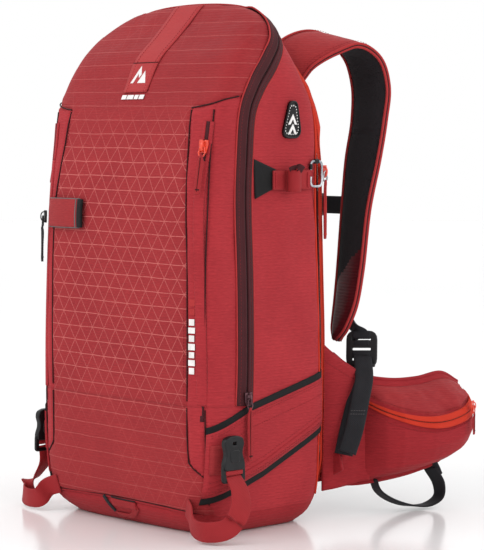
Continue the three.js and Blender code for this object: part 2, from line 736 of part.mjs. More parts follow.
function buildHipBelt() {
  addPair("hip_wing", loft(wingRings(-WING_THICK / 2, WING_THICK / 2, 0, 1, WING_ROUTE)), CLOTH);

  // The pocket bulges from the outer face of each wing, in two tiers that meet at its zip.
  const pocketStops = [1.2, 2, 3, 4, 4.5, 4.9].map((place) => {
    const i = Math.min(Math.floor(place), WING_ROUTE.length - 2);
    const [a, b] = [WING_ROUTE[i], WING_ROUTE[i + 1]];
    const mix = (p, q) => THREE.MathUtils.lerp(p, q, place - i);
    const at = [mix(a.at[0], b.at[0]), mix(a.at[1], b.at[1])];
    return { at, low: mix(a.low, b.low), high: mix(a.high, b.high) };
  });
  const swell = [0.3, 0.85, 1, 0.95, 0.8, 0.45];
  const inner = WING_THICK / 2 + 2.4;
  const rings = pocketStops.map((stop, i) => {
    const near = [pocketStops[Math.max(i - 1, 0)], stop, pocketStops[Math.min(i + 1, 5)]];
    const [, a] = wingRings(inner, inner + POCKET_DEPTH * swell[i], 0, 1, near);
    const [innerLow, innerHigh, outerHigh, outerLow] = a;
    const tier = (share, reach) => {
      const p = outerLow.clone().lerp(outerHigh, share);
      const q = innerLow.clone().lerp(innerHigh, share);
      return q.lerp(p, reach);
    };
    return [tier(0.06, 0), tier(0.9, 0), tier(0.88, 0.35), tier(0.62, 0.96), tier(0.3, 1), tier(0.1, 0.6)];
  });
  addPair("hip_pocket", loft(rings), CLOTH);
  addZipper("hip_zip_right", HIP_SLIDER, [0, 0, 1], [1, 0.4, 0], 28, [PAINTED, CLOTH], 0.8);

  // A webbing loop hangs under each wing and touches the floor, and the buckle halves hang inside the tips.
  const loop = [
    { at: [158, 228, 44], across: [1, 0.2, 0.3], width: WEBBING - 4 },
    { at: [160, 240, 26], across: [1, 0.2, 0.2], width: WEBBING - 4 },
    { at: [160, 240, 12], across: [1, 0, 0], width: WEBBING - 4 },
    { at: [157, 226, 4], across: [1, 0, 0], width: WEBBING - 4 },
    { at: [152, 200, 5], across: [1, 0, 0.1], width: WEBBING - 4 },
    { at: [146, 178, 13], across: [1, -0.2, 0.2], width: WEBBING - 4 },
    { at: [140, 160, 26], across: [1, -0.3, 0.2], width: WEBBING - 4 },
  ];
  addPair("belt_webbing_loop", ribbon(eased(loop, 14), 1.8), BLACK_CLOTH);
  const link = [
    { at: [150, 268, 105], across: [0, 0, 1], width: 30 },
    { at: [140, 271, 104], across: [0, 0, 1], width: 30 },
    { at: [130, 268, 102], across: [0, 0, 1], width: 30 },
  ];
  addPair("belt_webbing", ribbon(link, 2), BLACK_CLOTH);
  const male = joined(
    block(16, 8, 36, 119, 265, 101),
    block(26, 4, 6, 100, 265, 111),
    block(26, 4, 6, 100, 265, 91),
  );
  addPart("hip_buckle_male", male, PLASTIC);
  const female = without(block(44, 12, 40, -105, 265, 101), block(34, 7, 28, -99, 265, 101));
  addPart("hip_buckle_female", female, PLASTIC);
}

// ---------- airbag system ----------
function buildAirbag() {
  const half = [[88, 335], [88, 420], [74, 452], [50, 468]];
  const otherHalf = half.map(([x, z]) => [-x, z]).reverse();
  addPart("airbag_module", prismY([...half, ...otherHalf], 44, 81), ORANGE);
  const profile = [[0, -80], [16, -78], [21, -70], [21, 52], [15, 62], [9, 66], [9, 74], [0, 74]];
  const cylinder = new THREE.LatheGeometry(profile.map(([r, h]) => new THREE.Vector2(r, h)), 20);
  addPart("gas_cylinder", cylinder.rotateX(Math.PI / 2).translate(-60, 58, 180), METAL);
  const head = joined(block(44, 30, 34, -60, 60, 286), block(18, 18, 26, -60, 60, 314));
  const socket = new THREE.CylinderGeometry(9.6, 9.6, 20, 20).rotateX(Math.PI / 2).translate(-60, 58, 262);
  addPart("inflator_head", without(head, socket), PLASTIC);

  // The release handle sits on the outer face of the left strap and its cable runs inside the strap's edge.
  const grip = joined(block(26, 12, 64, -98, 199, 372), block(14, 9, 22, -98, 198, 415));
  const route = eased(STRAP_ROUTE, 26).slice(1, 13);
  const sleeve = ribbon(raised(route, -(STRAP_THICK / 2 + 5.4), 5), 5);
  addPart("trigger_cable", mirrored(sleeve), BLACK_CLOTH);
  grip.translate(98, -199, -372);
  addPart("trigger_handle", placed(grip, [-99, 200.5, 378], [0, 0.24, 1], [-0.2, 1, -0.24]), PAINTED);
}

buildBag();
buildZips();
buildTrim();
buildLoops();
buildBackPanel();
buildShoulderStraps();
buildSternumStrap();
buildHipBelt();
buildAirbag();

export default root;
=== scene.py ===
"""Avalanche airbag backpack: the looks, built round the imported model. Metres, in the row frame."""

import math

import bmesh
import bpy
import numpy as np
from mathutils import Matrix, Vector, noise


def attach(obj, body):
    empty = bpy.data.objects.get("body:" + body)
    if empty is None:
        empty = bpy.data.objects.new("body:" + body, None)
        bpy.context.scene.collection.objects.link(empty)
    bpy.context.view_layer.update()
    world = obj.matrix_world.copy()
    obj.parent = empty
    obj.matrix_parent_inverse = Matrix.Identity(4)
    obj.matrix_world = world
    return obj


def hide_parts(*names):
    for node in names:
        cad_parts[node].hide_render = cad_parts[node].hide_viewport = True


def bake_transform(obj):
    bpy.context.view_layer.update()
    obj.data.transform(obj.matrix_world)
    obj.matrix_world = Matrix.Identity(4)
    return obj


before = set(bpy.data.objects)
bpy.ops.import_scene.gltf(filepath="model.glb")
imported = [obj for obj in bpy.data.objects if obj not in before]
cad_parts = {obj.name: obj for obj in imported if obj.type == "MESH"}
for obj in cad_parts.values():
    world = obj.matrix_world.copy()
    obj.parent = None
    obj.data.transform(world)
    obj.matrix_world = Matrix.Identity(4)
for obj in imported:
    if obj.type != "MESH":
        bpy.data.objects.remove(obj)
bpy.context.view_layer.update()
MM = 0.001

# ---------- camera, light and floor ----------
CAMERA_AZIMUTH = math.radians(47.2)
CAMERA_ELEVATION = math.radians(3.5)
CAMERA_DISTANCE = 2.3
CAMERA_TARGET = Vector((0.0455, 0.0492, 0.260))
FOCAL_LENGTH = 139.4
SENSOR_HEIGHT = 36.0


def make_camera():
    data = bpy.data.cameras.new("camera")
    data.sensor_fit = "VERTICAL"
    data.sensor_height = SENSOR_HEIGHT
    data.lens = FOCAL_LENGTH
    camera = bpy.data.objects.new("camera", data)
    flat = math.cos(CAMERA_ELEVATION)
    right, ahead = math.sin(CAMERA_AZIMUTH) * flat, -math.cos(CAMERA_AZIMUTH) * flat
    away = Vector((right, ahead, math.sin(CAMERA_ELEVATION)))
    camera.location = CAMERA_TARGET + away * CAMERA_DISTANCE
    camera.rotation_euler = away.to_track_quat("Z", "Y").to_euler()
    bpy.context.scene.collection.objects.link(camera)
    bpy.context.scene.camera = camera


def add_light(name, at, aim, size, power):
    data = bpy.data.lights.new(name, "AREA")
    data.shape = "RECTANGLE"
    data.size, data.size_y = size
    data.energy = power
    light = bpy.data.objects.new(name, data)
    light.location = at
    light.rotation_euler = (Vector(at) - Vector(aim)).to_track_quat("Z", "Y").to_euler()
    bpy.context.scene.collection.objects.link(light)


def make_studio():
    world = bpy.data.worlds.new("world")
    world.use_nodes = True
    background = world.node_tree.nodes["Background"].inputs
    background["Color"].default_value = (1.0, 1.0, 1.0, 1)
    background["Strength"].default_value = 1.0
    bpy.context.scene.world = world
    bpy.context.scene.view_settings.view_transform = "Standard"
    middle = (0, 0, 0.28)
    add_light("key", (-0.6, -2.0, 1.7), middle, (1.4, 1.4), 17)
    add_light("side", (2.4, 0.1, 1.1), middle, (1.2, 1.8), 10)
    add_light("rim", (1.4, 2.2, 1.6), middle, (1.4, 1.0), 8)
    bpy.ops.mesh.primitive_circle_add(vertices=64, radius=9, fill_type="NGON", location=(0, 0, -0.0008))
    floor = bpy.context.object
    floor.name = "floor"
    floor.data.materials.append(FLOOR)


# ---------- materials ----------
def new_material(name):
    material = bpy.data.materials.new(name)
    material.use_nodes = True
    shader = material.node_tree.nodes["Principled BSDF"]
    return material, material.node_tree.nodes, material.node_tree.links, shader


def srgb(r, g, b):
    def linear(c):
        c /= 255
        return c / 12.92 if c <= 0.04045 else ((c + 0.055) / 1.055) ** 2.4

    return (linear(r), linear(g), linear(b), 1)


class Graph:
    """Small helpers that add nodes to one material."""

    def __init__(self, nodes, links):
        self.nodes, self.links = nodes, links

    def add(self, kind, **values):
        node = self.nodes.new(kind)
        for key, value in values.items():
            setattr(node, key, value)
        return node

    def put(self, socket, value):
        if hasattr(value, "is_output"):
            self.links.new(value, socket)
        else:
            socket.default_value = value

    def math(self, kind, a, b=0.0, c=0.0):
        node = self.add("ShaderNodeMath", operation=kind)
        for i, value in enumerate((a, b, c)):
            self.put(node.inputs[i], value)
        return node.outputs[0]

    def mix(self, share, a, b):
        node = self.add("ShaderNodeMix", data_type="RGBA")
        self.put(node.inputs[0], share)
        self.put(node.inputs[6], a)
        self.put(node.inputs[7], b)
        return node.outputs[2]

    def noise(self, where, scale, detail=3.0):
        node = self.add("ShaderNodeTexNoise")
        self.put(node.inputs["Vector"], where)
        node.inputs["Scale"].default_value = scale
        node.inputs["Detail"].default_value = detail
        node.inputs["Roughness"].default_value = 0.55
        return node.outputs["Fac"]

    def steps(self, value, low, high):
        node = self.add("ShaderNodeMapRange", interpolation_type="SMOOTHSTEP")
        self.put(node.inputs["Value"], value)
        node.inputs["From Min"].default_value = low
        node.inputs["From Max"].default_value = high
        return node.outputs["Result"]

    def bump(self, height, depth, strength, normal=None):
        node = self.add("ShaderNodeBump")
        node.inputs["Distance"].default_value = depth
        node.inputs["Strength"].default_value = strength
        self.put(node.inputs["Height"], height)
        if normal is not None:
            self.put(node.inputs["Normal"], normal)
        return node.outputs["Normal"]

    def lines(self, along, pitch, width):
        """1 on lines a width wide that repeat every pitch along a length, and 0 between them."""
        turn = self.math("FRACT", self.math("DIVIDE", along, pitch))
        edge = self.math("ABSOLUTE", self.math("SUBTRACT", turn, 0.5))
        half = width / pitch / 2
        return self.steps(edge, 0.5 - 2 * half, 0.5 - half * 0.4)


WEAVE_PITCH = 0.0016
THREAD_STRETCH = (160, 160, 1500)
TRIANGLE_HEIGHT = 0.0147
TRIANGLE_SIDE = 0.0196
PRINT_WIDTH = 0.0006
PRINT_COLOUR = (214, 122, 116)


def row_position(graph):
    coordinates = graph.add("ShaderNodeTexCoord").outputs["Object"]
    split = graph.add("ShaderNodeSeparateXYZ")
    graph.put(split.inputs[0], coordinates)
    return coordinates, split.outputs[0], split.outputs[1], split.outputs[2]


def woven(name, colour, dark, rough=0.82, sheen=0.05, ribs=0.0034, print_grid=False):
    """Polyester cloth: a fine weave, ribs every few millimetres, blotches of shade and a little sheen."""
    material, nodes, links, shader = new_material(name)
    g = Graph(nodes, links)
    where, x, y, z = row_position(g)
    cloudy = g.noise(where, 14, 4)
    grain = g.noise(where, 900, 2)
    threads = g.add("ShaderNodeTexNoise")
    stretch = g.add("ShaderNodeVectorMath", operation="MULTIPLY")
    g.put(stretch.inputs[0], where)
    stretch.inputs[1].default_value = THREAD_STRETCH
    g.put(threads.inputs["Vector"], stretch.outputs[0])
    threads.inputs["Scale"].default_value = 1.0
    threads.inputs["Detail"].default_value = 2
    ribbed = g.lines(z, ribs, ribs * 0.34)
    weave_u = g.lines(g.math("ADD", x, y), WEAVE_PITCH, WEAVE_PITCH * 0.5)
    weave_v = g.lines(z, WEAVE_PITCH, WEAVE_PITCH * 0.5)
    weave = g.math("MULTIPLY", weave_u, weave_v)
    shade = g.math("MULTIPLY_ADD", cloudy, 0.34, g.math("MULTIPLY", threads.outputs["Fac"], 0.5))
    tone = g.steps(shade, 0.22, 0.66)
    base = g.mix(tone, dark, colour)
    base = g.mix(g.math("MULTIPLY", ribbed, 0.2), base, dark)
    if print_grid:
        base = printed_triangles(g, where, x, z, base)
    g.put(shader.inputs["Base Color"], base)
    g.put(shader.inputs["Roughness"], g.math("MULTIPLY_ADD", grain, 0.12, rough - 0.06))
    shader.inputs["Sheen Weight"].default_value = sheen
    shader.inputs["Sheen Roughness"].default_value = 0.45
    shader.inputs["Sheen Tint"].default_value = (1.0, 0.72, 0.70, 1)
    shader.inputs["Specular IOR Level"].default_value = 0.2
    first = g.bump(g.math("MULTIPLY_ADD", ribbed, -1.0, g.math("MULTIPLY", weave, 0.5)), 0.0005, 0.35)
    g.put(shader.inputs["Normal"], g.bump(threads.outputs["Fac"], 0.0006, 0.35, first))
    return material


def printed_triangles(g, where, x, z, base):
    """Pale printed lines in a grid of triangles, which fade out towards the ends and sides of the panel."""
    drift = g.math("MULTIPLY", g.math("SUBTRACT", g.noise(where, 26, 2), 0.5), 0.0022)
    level = g.math("ADD", z, g.math("MULTIPLY", x, 0.012))
    level = g.math("ADD", level, drift)
    flat = g.lines(level, TRIANGLE_HEIGHT, PRINT_WIDTH)
    lean = g.math("MULTIPLY", level, TRIANGLE_SIDE / TRIANGLE_HEIGHT / 2)
    rising = g.lines(g.math("ADD", x, lean), TRIANGLE_SIDE, PRINT_WIDTH * 1.1)
    falling = g.lines(g.math("SUBTRACT", x, lean), TRIANGLE_SIDE, PRINT_WIDTH * 1.1)
    patch = g.noise(where, 9, 2)
    up = g.steps(g.math("ADD", z, g.math("MULTIPLY", patch, 0.09)), 0.115, 0.225)
    down = g.steps(g.math("ADD", z, g.math("MULTIPLY", patch, 0.09)), 0.50, 0.43)
    slanted = g.math("MULTIPLY", g.math("MULTIPLY", up, down), 0.55)
    faint = g.math("MULTIPLY", g.steps(patch, 0.4, 0.65), 0.14)
    strength = g.math("MAXIMUM", slanted, faint)
    level_strength = g.math("MULTIPLY_ADD", g.math("MULTIPLY", up, down), 0.42, 0.26)
    marks = g.math(
        "MAXIMUM",
        g.math("MULTIPLY", flat, level_strength),
        g.math("MULTIPLY", g.math("MAXIMUM", rising, falling), strength),
    )
    broken = g.steps(g.noise(where, 420, 2), 0.3, 0.55)
    worn = g.math("MULTIPLY", marks, g.math("MULTIPLY_ADD", broken, 0.5, 0.5))
    return g.mix(worn, base, srgb(*PRINT_COLOUR))


def webbing(name, colour, dark, pitch=0.0022):
    """Woven narrow webbing: a herringbone of thick yarns."""
    material, nodes, links, shader = new_material(name)
    g = Graph(nodes, links)
    where, x, y, z = row_position(g)
    across = g.math("ADD", g.math("MULTIPLY", x, 0.8), g.math("MULTIPLY", y, 0.6))
    twill = g.lines(g.math("ADD", across, z), pitch, pitch * 0.6)
    counter = g.lines(g.math("SUBTRACT", across, z), pitch, pitch * 0.6)
    weave = g.math("MAXIMUM", twill, counter)
    tone = g.math("MULTIPLY_ADD", g.noise(where, 60, 3), 0.6, g.math("MULTIPLY", weave, 0.4))
    g.put(shader.inputs["Base Color"], g.mix(tone, dark, colour))
    g.put(shader.inputs["Roughness"], g.math("MULTIPLY_ADD", g.noise(where, 500, 2), 0.15, 0.67))
    shader.inputs["Sheen Weight"].default_value = 0.03
    shader.inputs["Specular IOR Level"].default_value = 0.2
    g.put(shader.inputs["Normal"], g.bump(weave, 0.0006, 0.5))
    return material


def knitted(name, colour, dark):
    """Black spacer mesh with small holes."""
    material, nodes, links, shader = new_material(name)
    g = Graph(nodes, links)
    where = row_position(g)[0]
    cells = g.add("ShaderNodeTexVoronoi")
    g.put(cells.inputs["Vector"], where)
    cells.inputs["Scale"].default_value = 420
    hole = g.steps(cells.outputs["Distance"], 0.1, 0.42)
    tone = g.math("MULTIPLY_ADD", g.noise(where, 40, 3), 0.4, g.math("MULTIPLY", hole, 0.6))
    g.put(shader.inputs["Base Color"], g.mix(tone, dark, colour))
    g.put(shader.inputs["Roughness"], g.math("MULTIPLY_ADD", hole, 0.15, 0.78))
    shader.inputs["Sheen Weight"].default_value = 0.02
    shader.inputs["Specular IOR Level"].default_value = 0.2
    g.put(shader.inputs["Normal"], g.bump(hole, 0.0008, 0.6))
    return material


def moulded(name, colour, dark, rough=0.42, metal=0.0, coat=0.0):
    """Moulded plastic or coated metal with fine texture, flow marks and rubbed patches."""
    material, nodes, links, shader = new_material(name)
    g = Graph(nodes, links)
    where = row_position(g)[0]
    grain = g.noise(where, 1600, 2)
    flow = g.noise(where, 90, 4)
    g.put(shader.inputs["Base Color"], g.mix(g.steps(flow, 0.35, 0.7), dark, colour))
    g.put(shader.inputs["Roughness"], g.math("MULTIPLY_ADD", flow, 0.2, rough - 0.1))
    shader.inputs["Metallic"].default_value = metal
    shader.inputs["Specular IOR Level"].default_value = 0.5 if metal else 0.28
    shader.inputs["Coat Weight"].default_value = coat
    g.put(shader.inputs["Normal"], g.bump(grain, 0.0002, 0.25))
    return material


def floor_material():
    material, nodes, links, shader = new_material("floor")
    g = Graph(nodes, links)
    where = row_position(g)[0]
    tone = g.noise(where, 1.5, 2)
    g.put(shader.inputs["Base Color"], g.mix(tone, (0.93, 0.93, 0.935, 1), (0.96, 0.96, 0.96, 1)))
    shader.inputs["Roughness"].default_value = 0.16
    shader.inputs["Specular IOR Level"].default_value = 0.45
    return material


RED = srgb(178, 50, 56)
RED_DARK = srgb(150, 38, 45)
FLOOR = floor_material()
SIDE_CLOTH = woven("side_cloth", RED, RED_DARK)
FRONT_CLOTH = woven("front_cloth", srgb(164, 48, 51), srgb(142, 38, 43), ribs=0.0029, print_grid=True)
CAP_CLOTH = woven("cap_cloth", srgb(160, 44, 48), srgb(138, 35, 40), ribs=0.0029, sheen=0.08, print_grid=True)
PLAIN_CLOTH = woven("plain_cloth", srgb(178, 60, 61), srgb(164, 50, 53), ribs=0.0012, rough=0.75)
REINFORCEMENT = woven("reinforcement", srgb(108, 26, 34), srgb(70, 16, 22), rough=0.5)
STRAP_CLOTH = woven("strap_cloth", srgb(168, 52, 53), srgb(142, 38, 43), ribs=0.002, sheen=0.1)
BELT_CLOTH = woven("belt_cloth", srgb(168, 42, 48), srgb(140, 31, 38))
RED_WEBBING = webbing("red_webbing", srgb(164, 42, 46), srgb(126, 26, 32))
RED_EDGE = webbing("red_edge", srgb(182, 54, 54), srgb(150, 36, 40), pitch=0.0012)
# Painted shade: this near-black red is laid as cords in the seam grooves, beside and down the middle of zips
# and along the pull tabs' folds, where shade falls; the pulls' bar tacks take it too.
SEAM_SHADOW = webbing("seam_shadow", srgb(60, 16, 20), srgb(30, 8, 10), pitch=0.001)
BLACK_WEBBING = webbing("black_webbing", srgb(42, 42, 46), srgb(16, 16, 18))
BLACK_CLOTH = webbing("black_cloth", srgb(26, 25, 26), srgb(15, 15, 16), pitch=0.0014)
BLACK_MESH = knitted("black_mesh", srgb(46, 42, 45), srgb(12, 12, 14))
LINING = woven("lining", srgb(84, 84, 88), srgb(60, 60, 64), sheen=0.1)
MAROON = webbing("maroon_tape", srgb(76, 28, 33), srgb(50, 18, 23), pitch=0.0015)
MAROON_TEETH = moulded("maroon_teeth", srgb(58, 20, 26), srgb(36, 12, 16), 0.4)
ORANGE = webbing("orange_tape", srgb(204, 54, 32), srgb(178, 40, 25), pitch=0.0016)
ORANGE_TEETH = moulded("orange_teeth", srgb(200, 54, 34), srgb(150, 36, 24), 0.4)
PLASTIC = moulded("black_plastic", srgb(26, 26, 28), srgb(15, 15, 17), 0.4)
RUBBER = moulded("badge_rubber", srgb(20, 20, 22), srgb(11, 11, 12), 0.34)
GUNMETAL = moulded("gunmetal", srgb(120, 84, 90), srgb(70, 44, 50), 0.32, 0.85)
PAINT = moulded("orange_paint", srgb(232, 66, 36), srgb(200, 46, 24), 0.34, 0.1, 0.4)
ALUMINIUM = moulded("aluminium", srgb(205, 208, 212), srgb(150, 154, 160), 0.28, 1.0)
CYLINDER_STEEL = moulded("cylinder_metal", srgb(196, 199, 204), srgb(160, 164, 170), 0.36, 1.0)
WHITE_PRINT = moulded("white_print", srgb(240, 238, 236), srgb(224, 220, 218), 0.55)
GREY_EDGE = webbing("grey_edge", srgb(120, 116, 116), srgb(70, 68, 70), pitch=0.0014)
STITCH = webbing("stitch_thread", srgb(150, 36, 42), srgb(96, 20, 26), pitch=0.001)
AIRBAG_CLOTH = woven("airbag_cloth", srgb(226, 84, 40), srgb(196, 58, 26), rough=0.6)

# ---------- the bag's skin, as in the CAD ----------
# Height, half width, front y, rear y, middle y, and the squareness of the front and the rear.
STATIONS = np.array(
    [
        [0, 118, -66, 76, 3, 5.5, 6],
        [12, 130, -78, 83, 1, 6.5, 8],
        [32, 137, -85, 87, 0, 7.5, 9],
        [80, 141, -89, 88, 0, 7.5, 9],
        [160, 142, -90, 88, 0, 7.5, 9],
        [250, 139, -90, 88, 0, 7.5, 9],
        [340, 135, -88, 88, 0, 7.5, 9],
        [400, 137, -78, 88, 0, 8, 8],
        [435, 138, -71, 88, 0, 8.5, 6],
        [462, 137, -58, 88, 1, 9, 4],
        [490, 132, -43, 85, 4, 8, 2.7],
        [513, 126, -19, 75, 7, 8, 2.1],
        [530, 112, -2, 58, 13, 6, 2],
        [541, 92, 8, 45, 17, 3.4, 2],
        [547, 64, 14, 38, 20, 2.5, 2],
        [550, 30, 18, 33, 22, 2, 2],
    ]
)
# Height and y of the main zip.
ZIP_LINE = np.array(
    [
        [100, -38],
        [180, -34],
        [280, -31.5],
        [400, -30.5],
        [436, -27],
        [462, -13],
        [482, 5],
        [505, 23],
        [530, 33],
        [560, 36],
    ]
)
LID_FOLD = 134


def lengths_along(points):
    """The distance from the first point to each point of a run."""
    return np.concatenate([[0], np.cumsum(np.linalg.norm(np.diff(points, axis=0), axis=1))])


def sample(table, keys, wanted):
    """Every column of a table at the wanted keys."""
    return np.stack([np.interp(wanted, keys, column) for column in table.T], 1)


def unit_rows(vectors):
    return vectors / np.linalg.norm(vectors, axis=1)[:, None]


def hermite(t, a, slope_a, b, slope_b):
    t2, t3 = t * t, t * t * t
    start = (2 * t3 - 3 * t2 + 1) * a + (t3 - 2 * t2 + t) * slope_a
    return start + (3 * t2 - 2 * t3) * b + (t3 - t2) * slope_b


def smooth_row(table, key):
    """Smooth values between the rows of a table whose first column rises, as the CAD reads them."""
    i = int(np.clip(np.searchsorted(table[:, 0], key) - 1, 0, len(table) - 2))
    a, b = table[i], table[i + 1]
    before, after = table[max(i - 1, 0)], table[min(i + 2, len(table) - 1)]
    span = b[0] - a[0]
    t = float(np.clip((key - a[0]) / span, 0, 1))
    slope_a = (b - before) / (b[0] - before[0]) * span
    slope_b = (after - a) / (after[0] - a[0]) * span
    return hermite(t, a, slope_a, b, slope_b)[1:]


def zip_y(z):
    return float(smooth_row(ZIP_LINE, z)[0])


def side_x(y, z):
    half, front, rear, middle, square_front, square_rear = smooth_row(STATIONS, z)
    share = (middle - y) / (middle - front) if y < middle else (y - middle) / (rear - middle)
    square = square_front if y < middle else square_rear
    return half * max(0.0, 1 - min(share, 1.0) ** square) ** (1 / square)


def front_y(x, z):
    half, front, _, middle, square, _ = smooth_row(STATIONS, z)
    return middle - (middle - front) * max(0.0, 1 - min(abs(x) / half, 1) ** square) ** (1 / square)


def ring_arc(z, start, end, count):
    """Evenly spaced points of the skin at one height, between two angles from the middle of the front."""
    half, front, rear, middle, square_front, square_rear = smooth_row(STATIONS, z)
    angle = -math.pi / 2 + np.linspace(start, end, 400)
    c, s = np.cos(angle), np.sin(angle)
    power = np.where(s < 0, 2 / square_front, 2 / square_rear)
    reach = np.where(s < 0, middle - front, rear - middle)
    x = half * np.sign(c) * np.abs(c) ** power
    y = middle + reach * np.sign(s) * np.abs(s) ** power
    points = np.stack([x, y, np.full_like(c, z)], 1)
    run = lengths_along(points)
    return sample(points, run, np.linspace(0, run[-1], count))


def zip_angle(z):
    """The angle from the middle of the front at which the skin meets the main zip, or pi above it."""
    _, front, rear, middle, square_front, square_rear = smooth_row(STATIONS, z)
    y = zip_y(z)
    if y >= rear:
        return math.pi
    if y < middle:
        s = -(((middle - y) / (middle - front)) ** (square_front / 2))
    else:
        s = ((y - middle) / (rear - middle)) ** (square_rear / 2)
    return math.asin(max(-1.0, min(1.0, s))) + math.pi / 2


# ---------- mesh helpers ----------
def link(name, mesh, materials, smooth=True):
    obj = bpy.data.objects.new(name, mesh)
    bpy.context.scene.collection.objects.link(obj)
    for material in materials:
        mesh.materials.append(material)
    if smooth:
        mesh.shade_smooth()
    return obj


def mesh_object(name, points, faces, materials, smooth=True, zones=None):
    mesh = bpy.data.meshes.new(name)
    mesh.from_pydata([tuple(p) for p in points], [], faces)
    mesh.update()
    obj = link(name, mesh, materials, smooth)
    if zones is not None:
        mesh.polygons.foreach_set("material_index", zones)
    return obj


def grid_faces(rows, columns, closed=False):
    faces = []
    last = columns if closed else columns - 1
    for i in range(rows - 1):
        for j in range(last):
            k = (j + 1) % columns
            faces.append((i * columns + j, i * columns + k, (i + 1) * columns + k, (i + 1) * columns + j))
    return faces


def capped_faces(rows, columns):
    """Faces of a run of closed rings with a flat face at each end."""
    faces = grid_faces(rows, columns, closed=True)
    faces.append(tuple(range(columns))[::-1])
    faces.append(tuple(range((rows - 1) * columns, rows * columns)))
    return faces


def shell_faces(m, n):
    """Faces of a grid of points, of a second grid behind it, and of the rim between them."""
    faces = grid_faces(m, n)
    faces += [tuple(i + m * n for i in face[::-1]) for face in grid_faces(m, n)]
    edge = [(0, j) for j in range(n)] + [(i, n - 1) for i in range(1, m)]
    edge += [(m - 1, j) for j in range(n - 2, -1, -1)] + [(i, 0) for i in range(m - 2, 0, -1)]
    ring = [i * n + j for i, j in edge]
    return faces + [(a, b, b + m * n, a + m * n) for a, b in zip(ring, ring[1:] + ring[:1])]


def finish_mesh(obj):
    """Applies every modifier, so that the mesh is final."""
    graph = bpy.context.evaluated_depsgraph_get()
    mesh = bpy.data.meshes.new_from_object(obj.evaluated_get(graph))
    obj.modifiers.clear()
    obj.data = mesh
    return obj


def outward(obj):
    work = bmesh.new()
    work.from_mesh(obj.data)
    bmesh.ops.recalc_face_normals(work, faces=work.faces)
    work.to_mesh(obj.data)
    work.free()
    return obj


def ring_mesh(name, rings, material):
    """A closed piece over a run of rings of points in millimetres."""
    faces = capped_faces(len(rings), len(rings[0]))
    return outward(mesh_object(name, np.array(rings).reshape(-1, 3) * MM, faces, [material]))


def thicken(obj, thickness, lining):
    """Gives a skin a wall on its inner side, faced with a lining."""
    obj.data.materials.append(lining)
    modifier = obj.modifiers.new("wall", "SOLIDIFY")
    modifier.thickness = thickness
    modifier.offset = -1.0
    modifier.use_even_offset = False
    modifier.material_offset = len(obj.data.materials) - 1
    modifier.material_offset_rim = 0


def join(name, parts):
    """One object out of several, keeping their materials."""
    for part in parts:
        if part.modifiers:
            finish_mesh(part)
    bpy.ops.object.select_all(action="DESELECT")
    for part in parts:
        part.select_set(True)
    bpy.context.view_layer.objects.active = parts[0]
    bpy.ops.object.join()
    parts[0].name = name
    return parts[0]


def curve_through(stops, count):
    """A smooth run of points through a few stops, all arrays of numbers of one length."""
    stops = np.array(stops, float)
    gaps = np.linalg.norm(np.diff(stops[:, :3], axis=0), axis=1) ** 0.5
    knots = np.concatenate([[0], np.cumsum(gaps)])
    want = np.linspace(0, knots[-1], count * 4)
    slopes = np.gradient(stops, knots, axis=0)
    out = []
    for t in want:
        i = int(np.clip(np.searchsorted(knots, t) - 1, 0, len(knots) - 2))
        h = knots[i + 1] - knots[i]
        u = (t - knots[i]) / h
        out.append(hermite(u, stops[i], h * slopes[i], stops[i + 1], h * slopes[i + 1]))
    out = np.array(out)
    run = lengths_along(out[:, :3])
    return sample(out, run, np.linspace(0, run[-1], count))


def frames_along(points, across):
    """Unit vectors across a run of points and out of its face."""
    along = unit_rows(np.gradient(points, axis=0))
    side = unit_rows(across - along * np.sum(across * along, axis=1)[:, None])
    return side, np.cross(along, side)


def flat_section(width, thickness, corners):
    """The outline of a flat strap's cross-section, with round edges."""
    r = thickness / 2
    outline = []
    for sign in (1, -1):
        for k in range(corners + 1):
            a = -math.pi / 2 + math.pi * k / corners
            outline.append((sign * (width / 2 - r + r * math.cos(a)), sign * r * math.sin(a)))
        for share in (0.75, 0.5, 0.25):
            outline.append((sign * (2 * share - 1) * (width / 2 - r), sign * r))
    return outline


def strap(name, stops, thickness, material, count=60, corners=3, wobble=0.0, seed=0):
    """A strap along stops of x, y, z, across x, y, z and width, all in millimetres."""
    run = curve_through(stops, count)
    points, across, widths = run[:, :3], run[:, 3:6], run[:, 6]
    side, face = frames_along(points, across)
    rings = []
    for i in range(count):
        section = flat_section(widths[i], thickness, corners)
        lift = wobble * noise.noise(Vector(points[i]) * 0.03 + Vector((seed, 0, 0)))
        rings.append([points[i] + side[i] * u + face[i] * (v + lift) for u, v in section])
    return ring_mesh(name, rings, material)


# A direction that no tube here runs along.
TUBE_UP = (0.31, 0.52, 0.79)


def tube(name, points, radius, material, sides=8):
    """A round tube through points in millimetres."""
    points = np.array(points, float)
    along = unit_rows(np.gradient(points, axis=0))
    side = unit_rows(np.cross(along, TUBE_UP))
    other = np.cross(along, side)
    angles = np.linspace(0, 2 * math.pi, sides, endpoint=False)
    rings = [
        [points[i] + radius * (side[i] * math.cos(a) + other[i] * math.sin(a)) for a in angles]
        for i in range(len(points))
    ]
    return ring_mesh(name, rings, material)


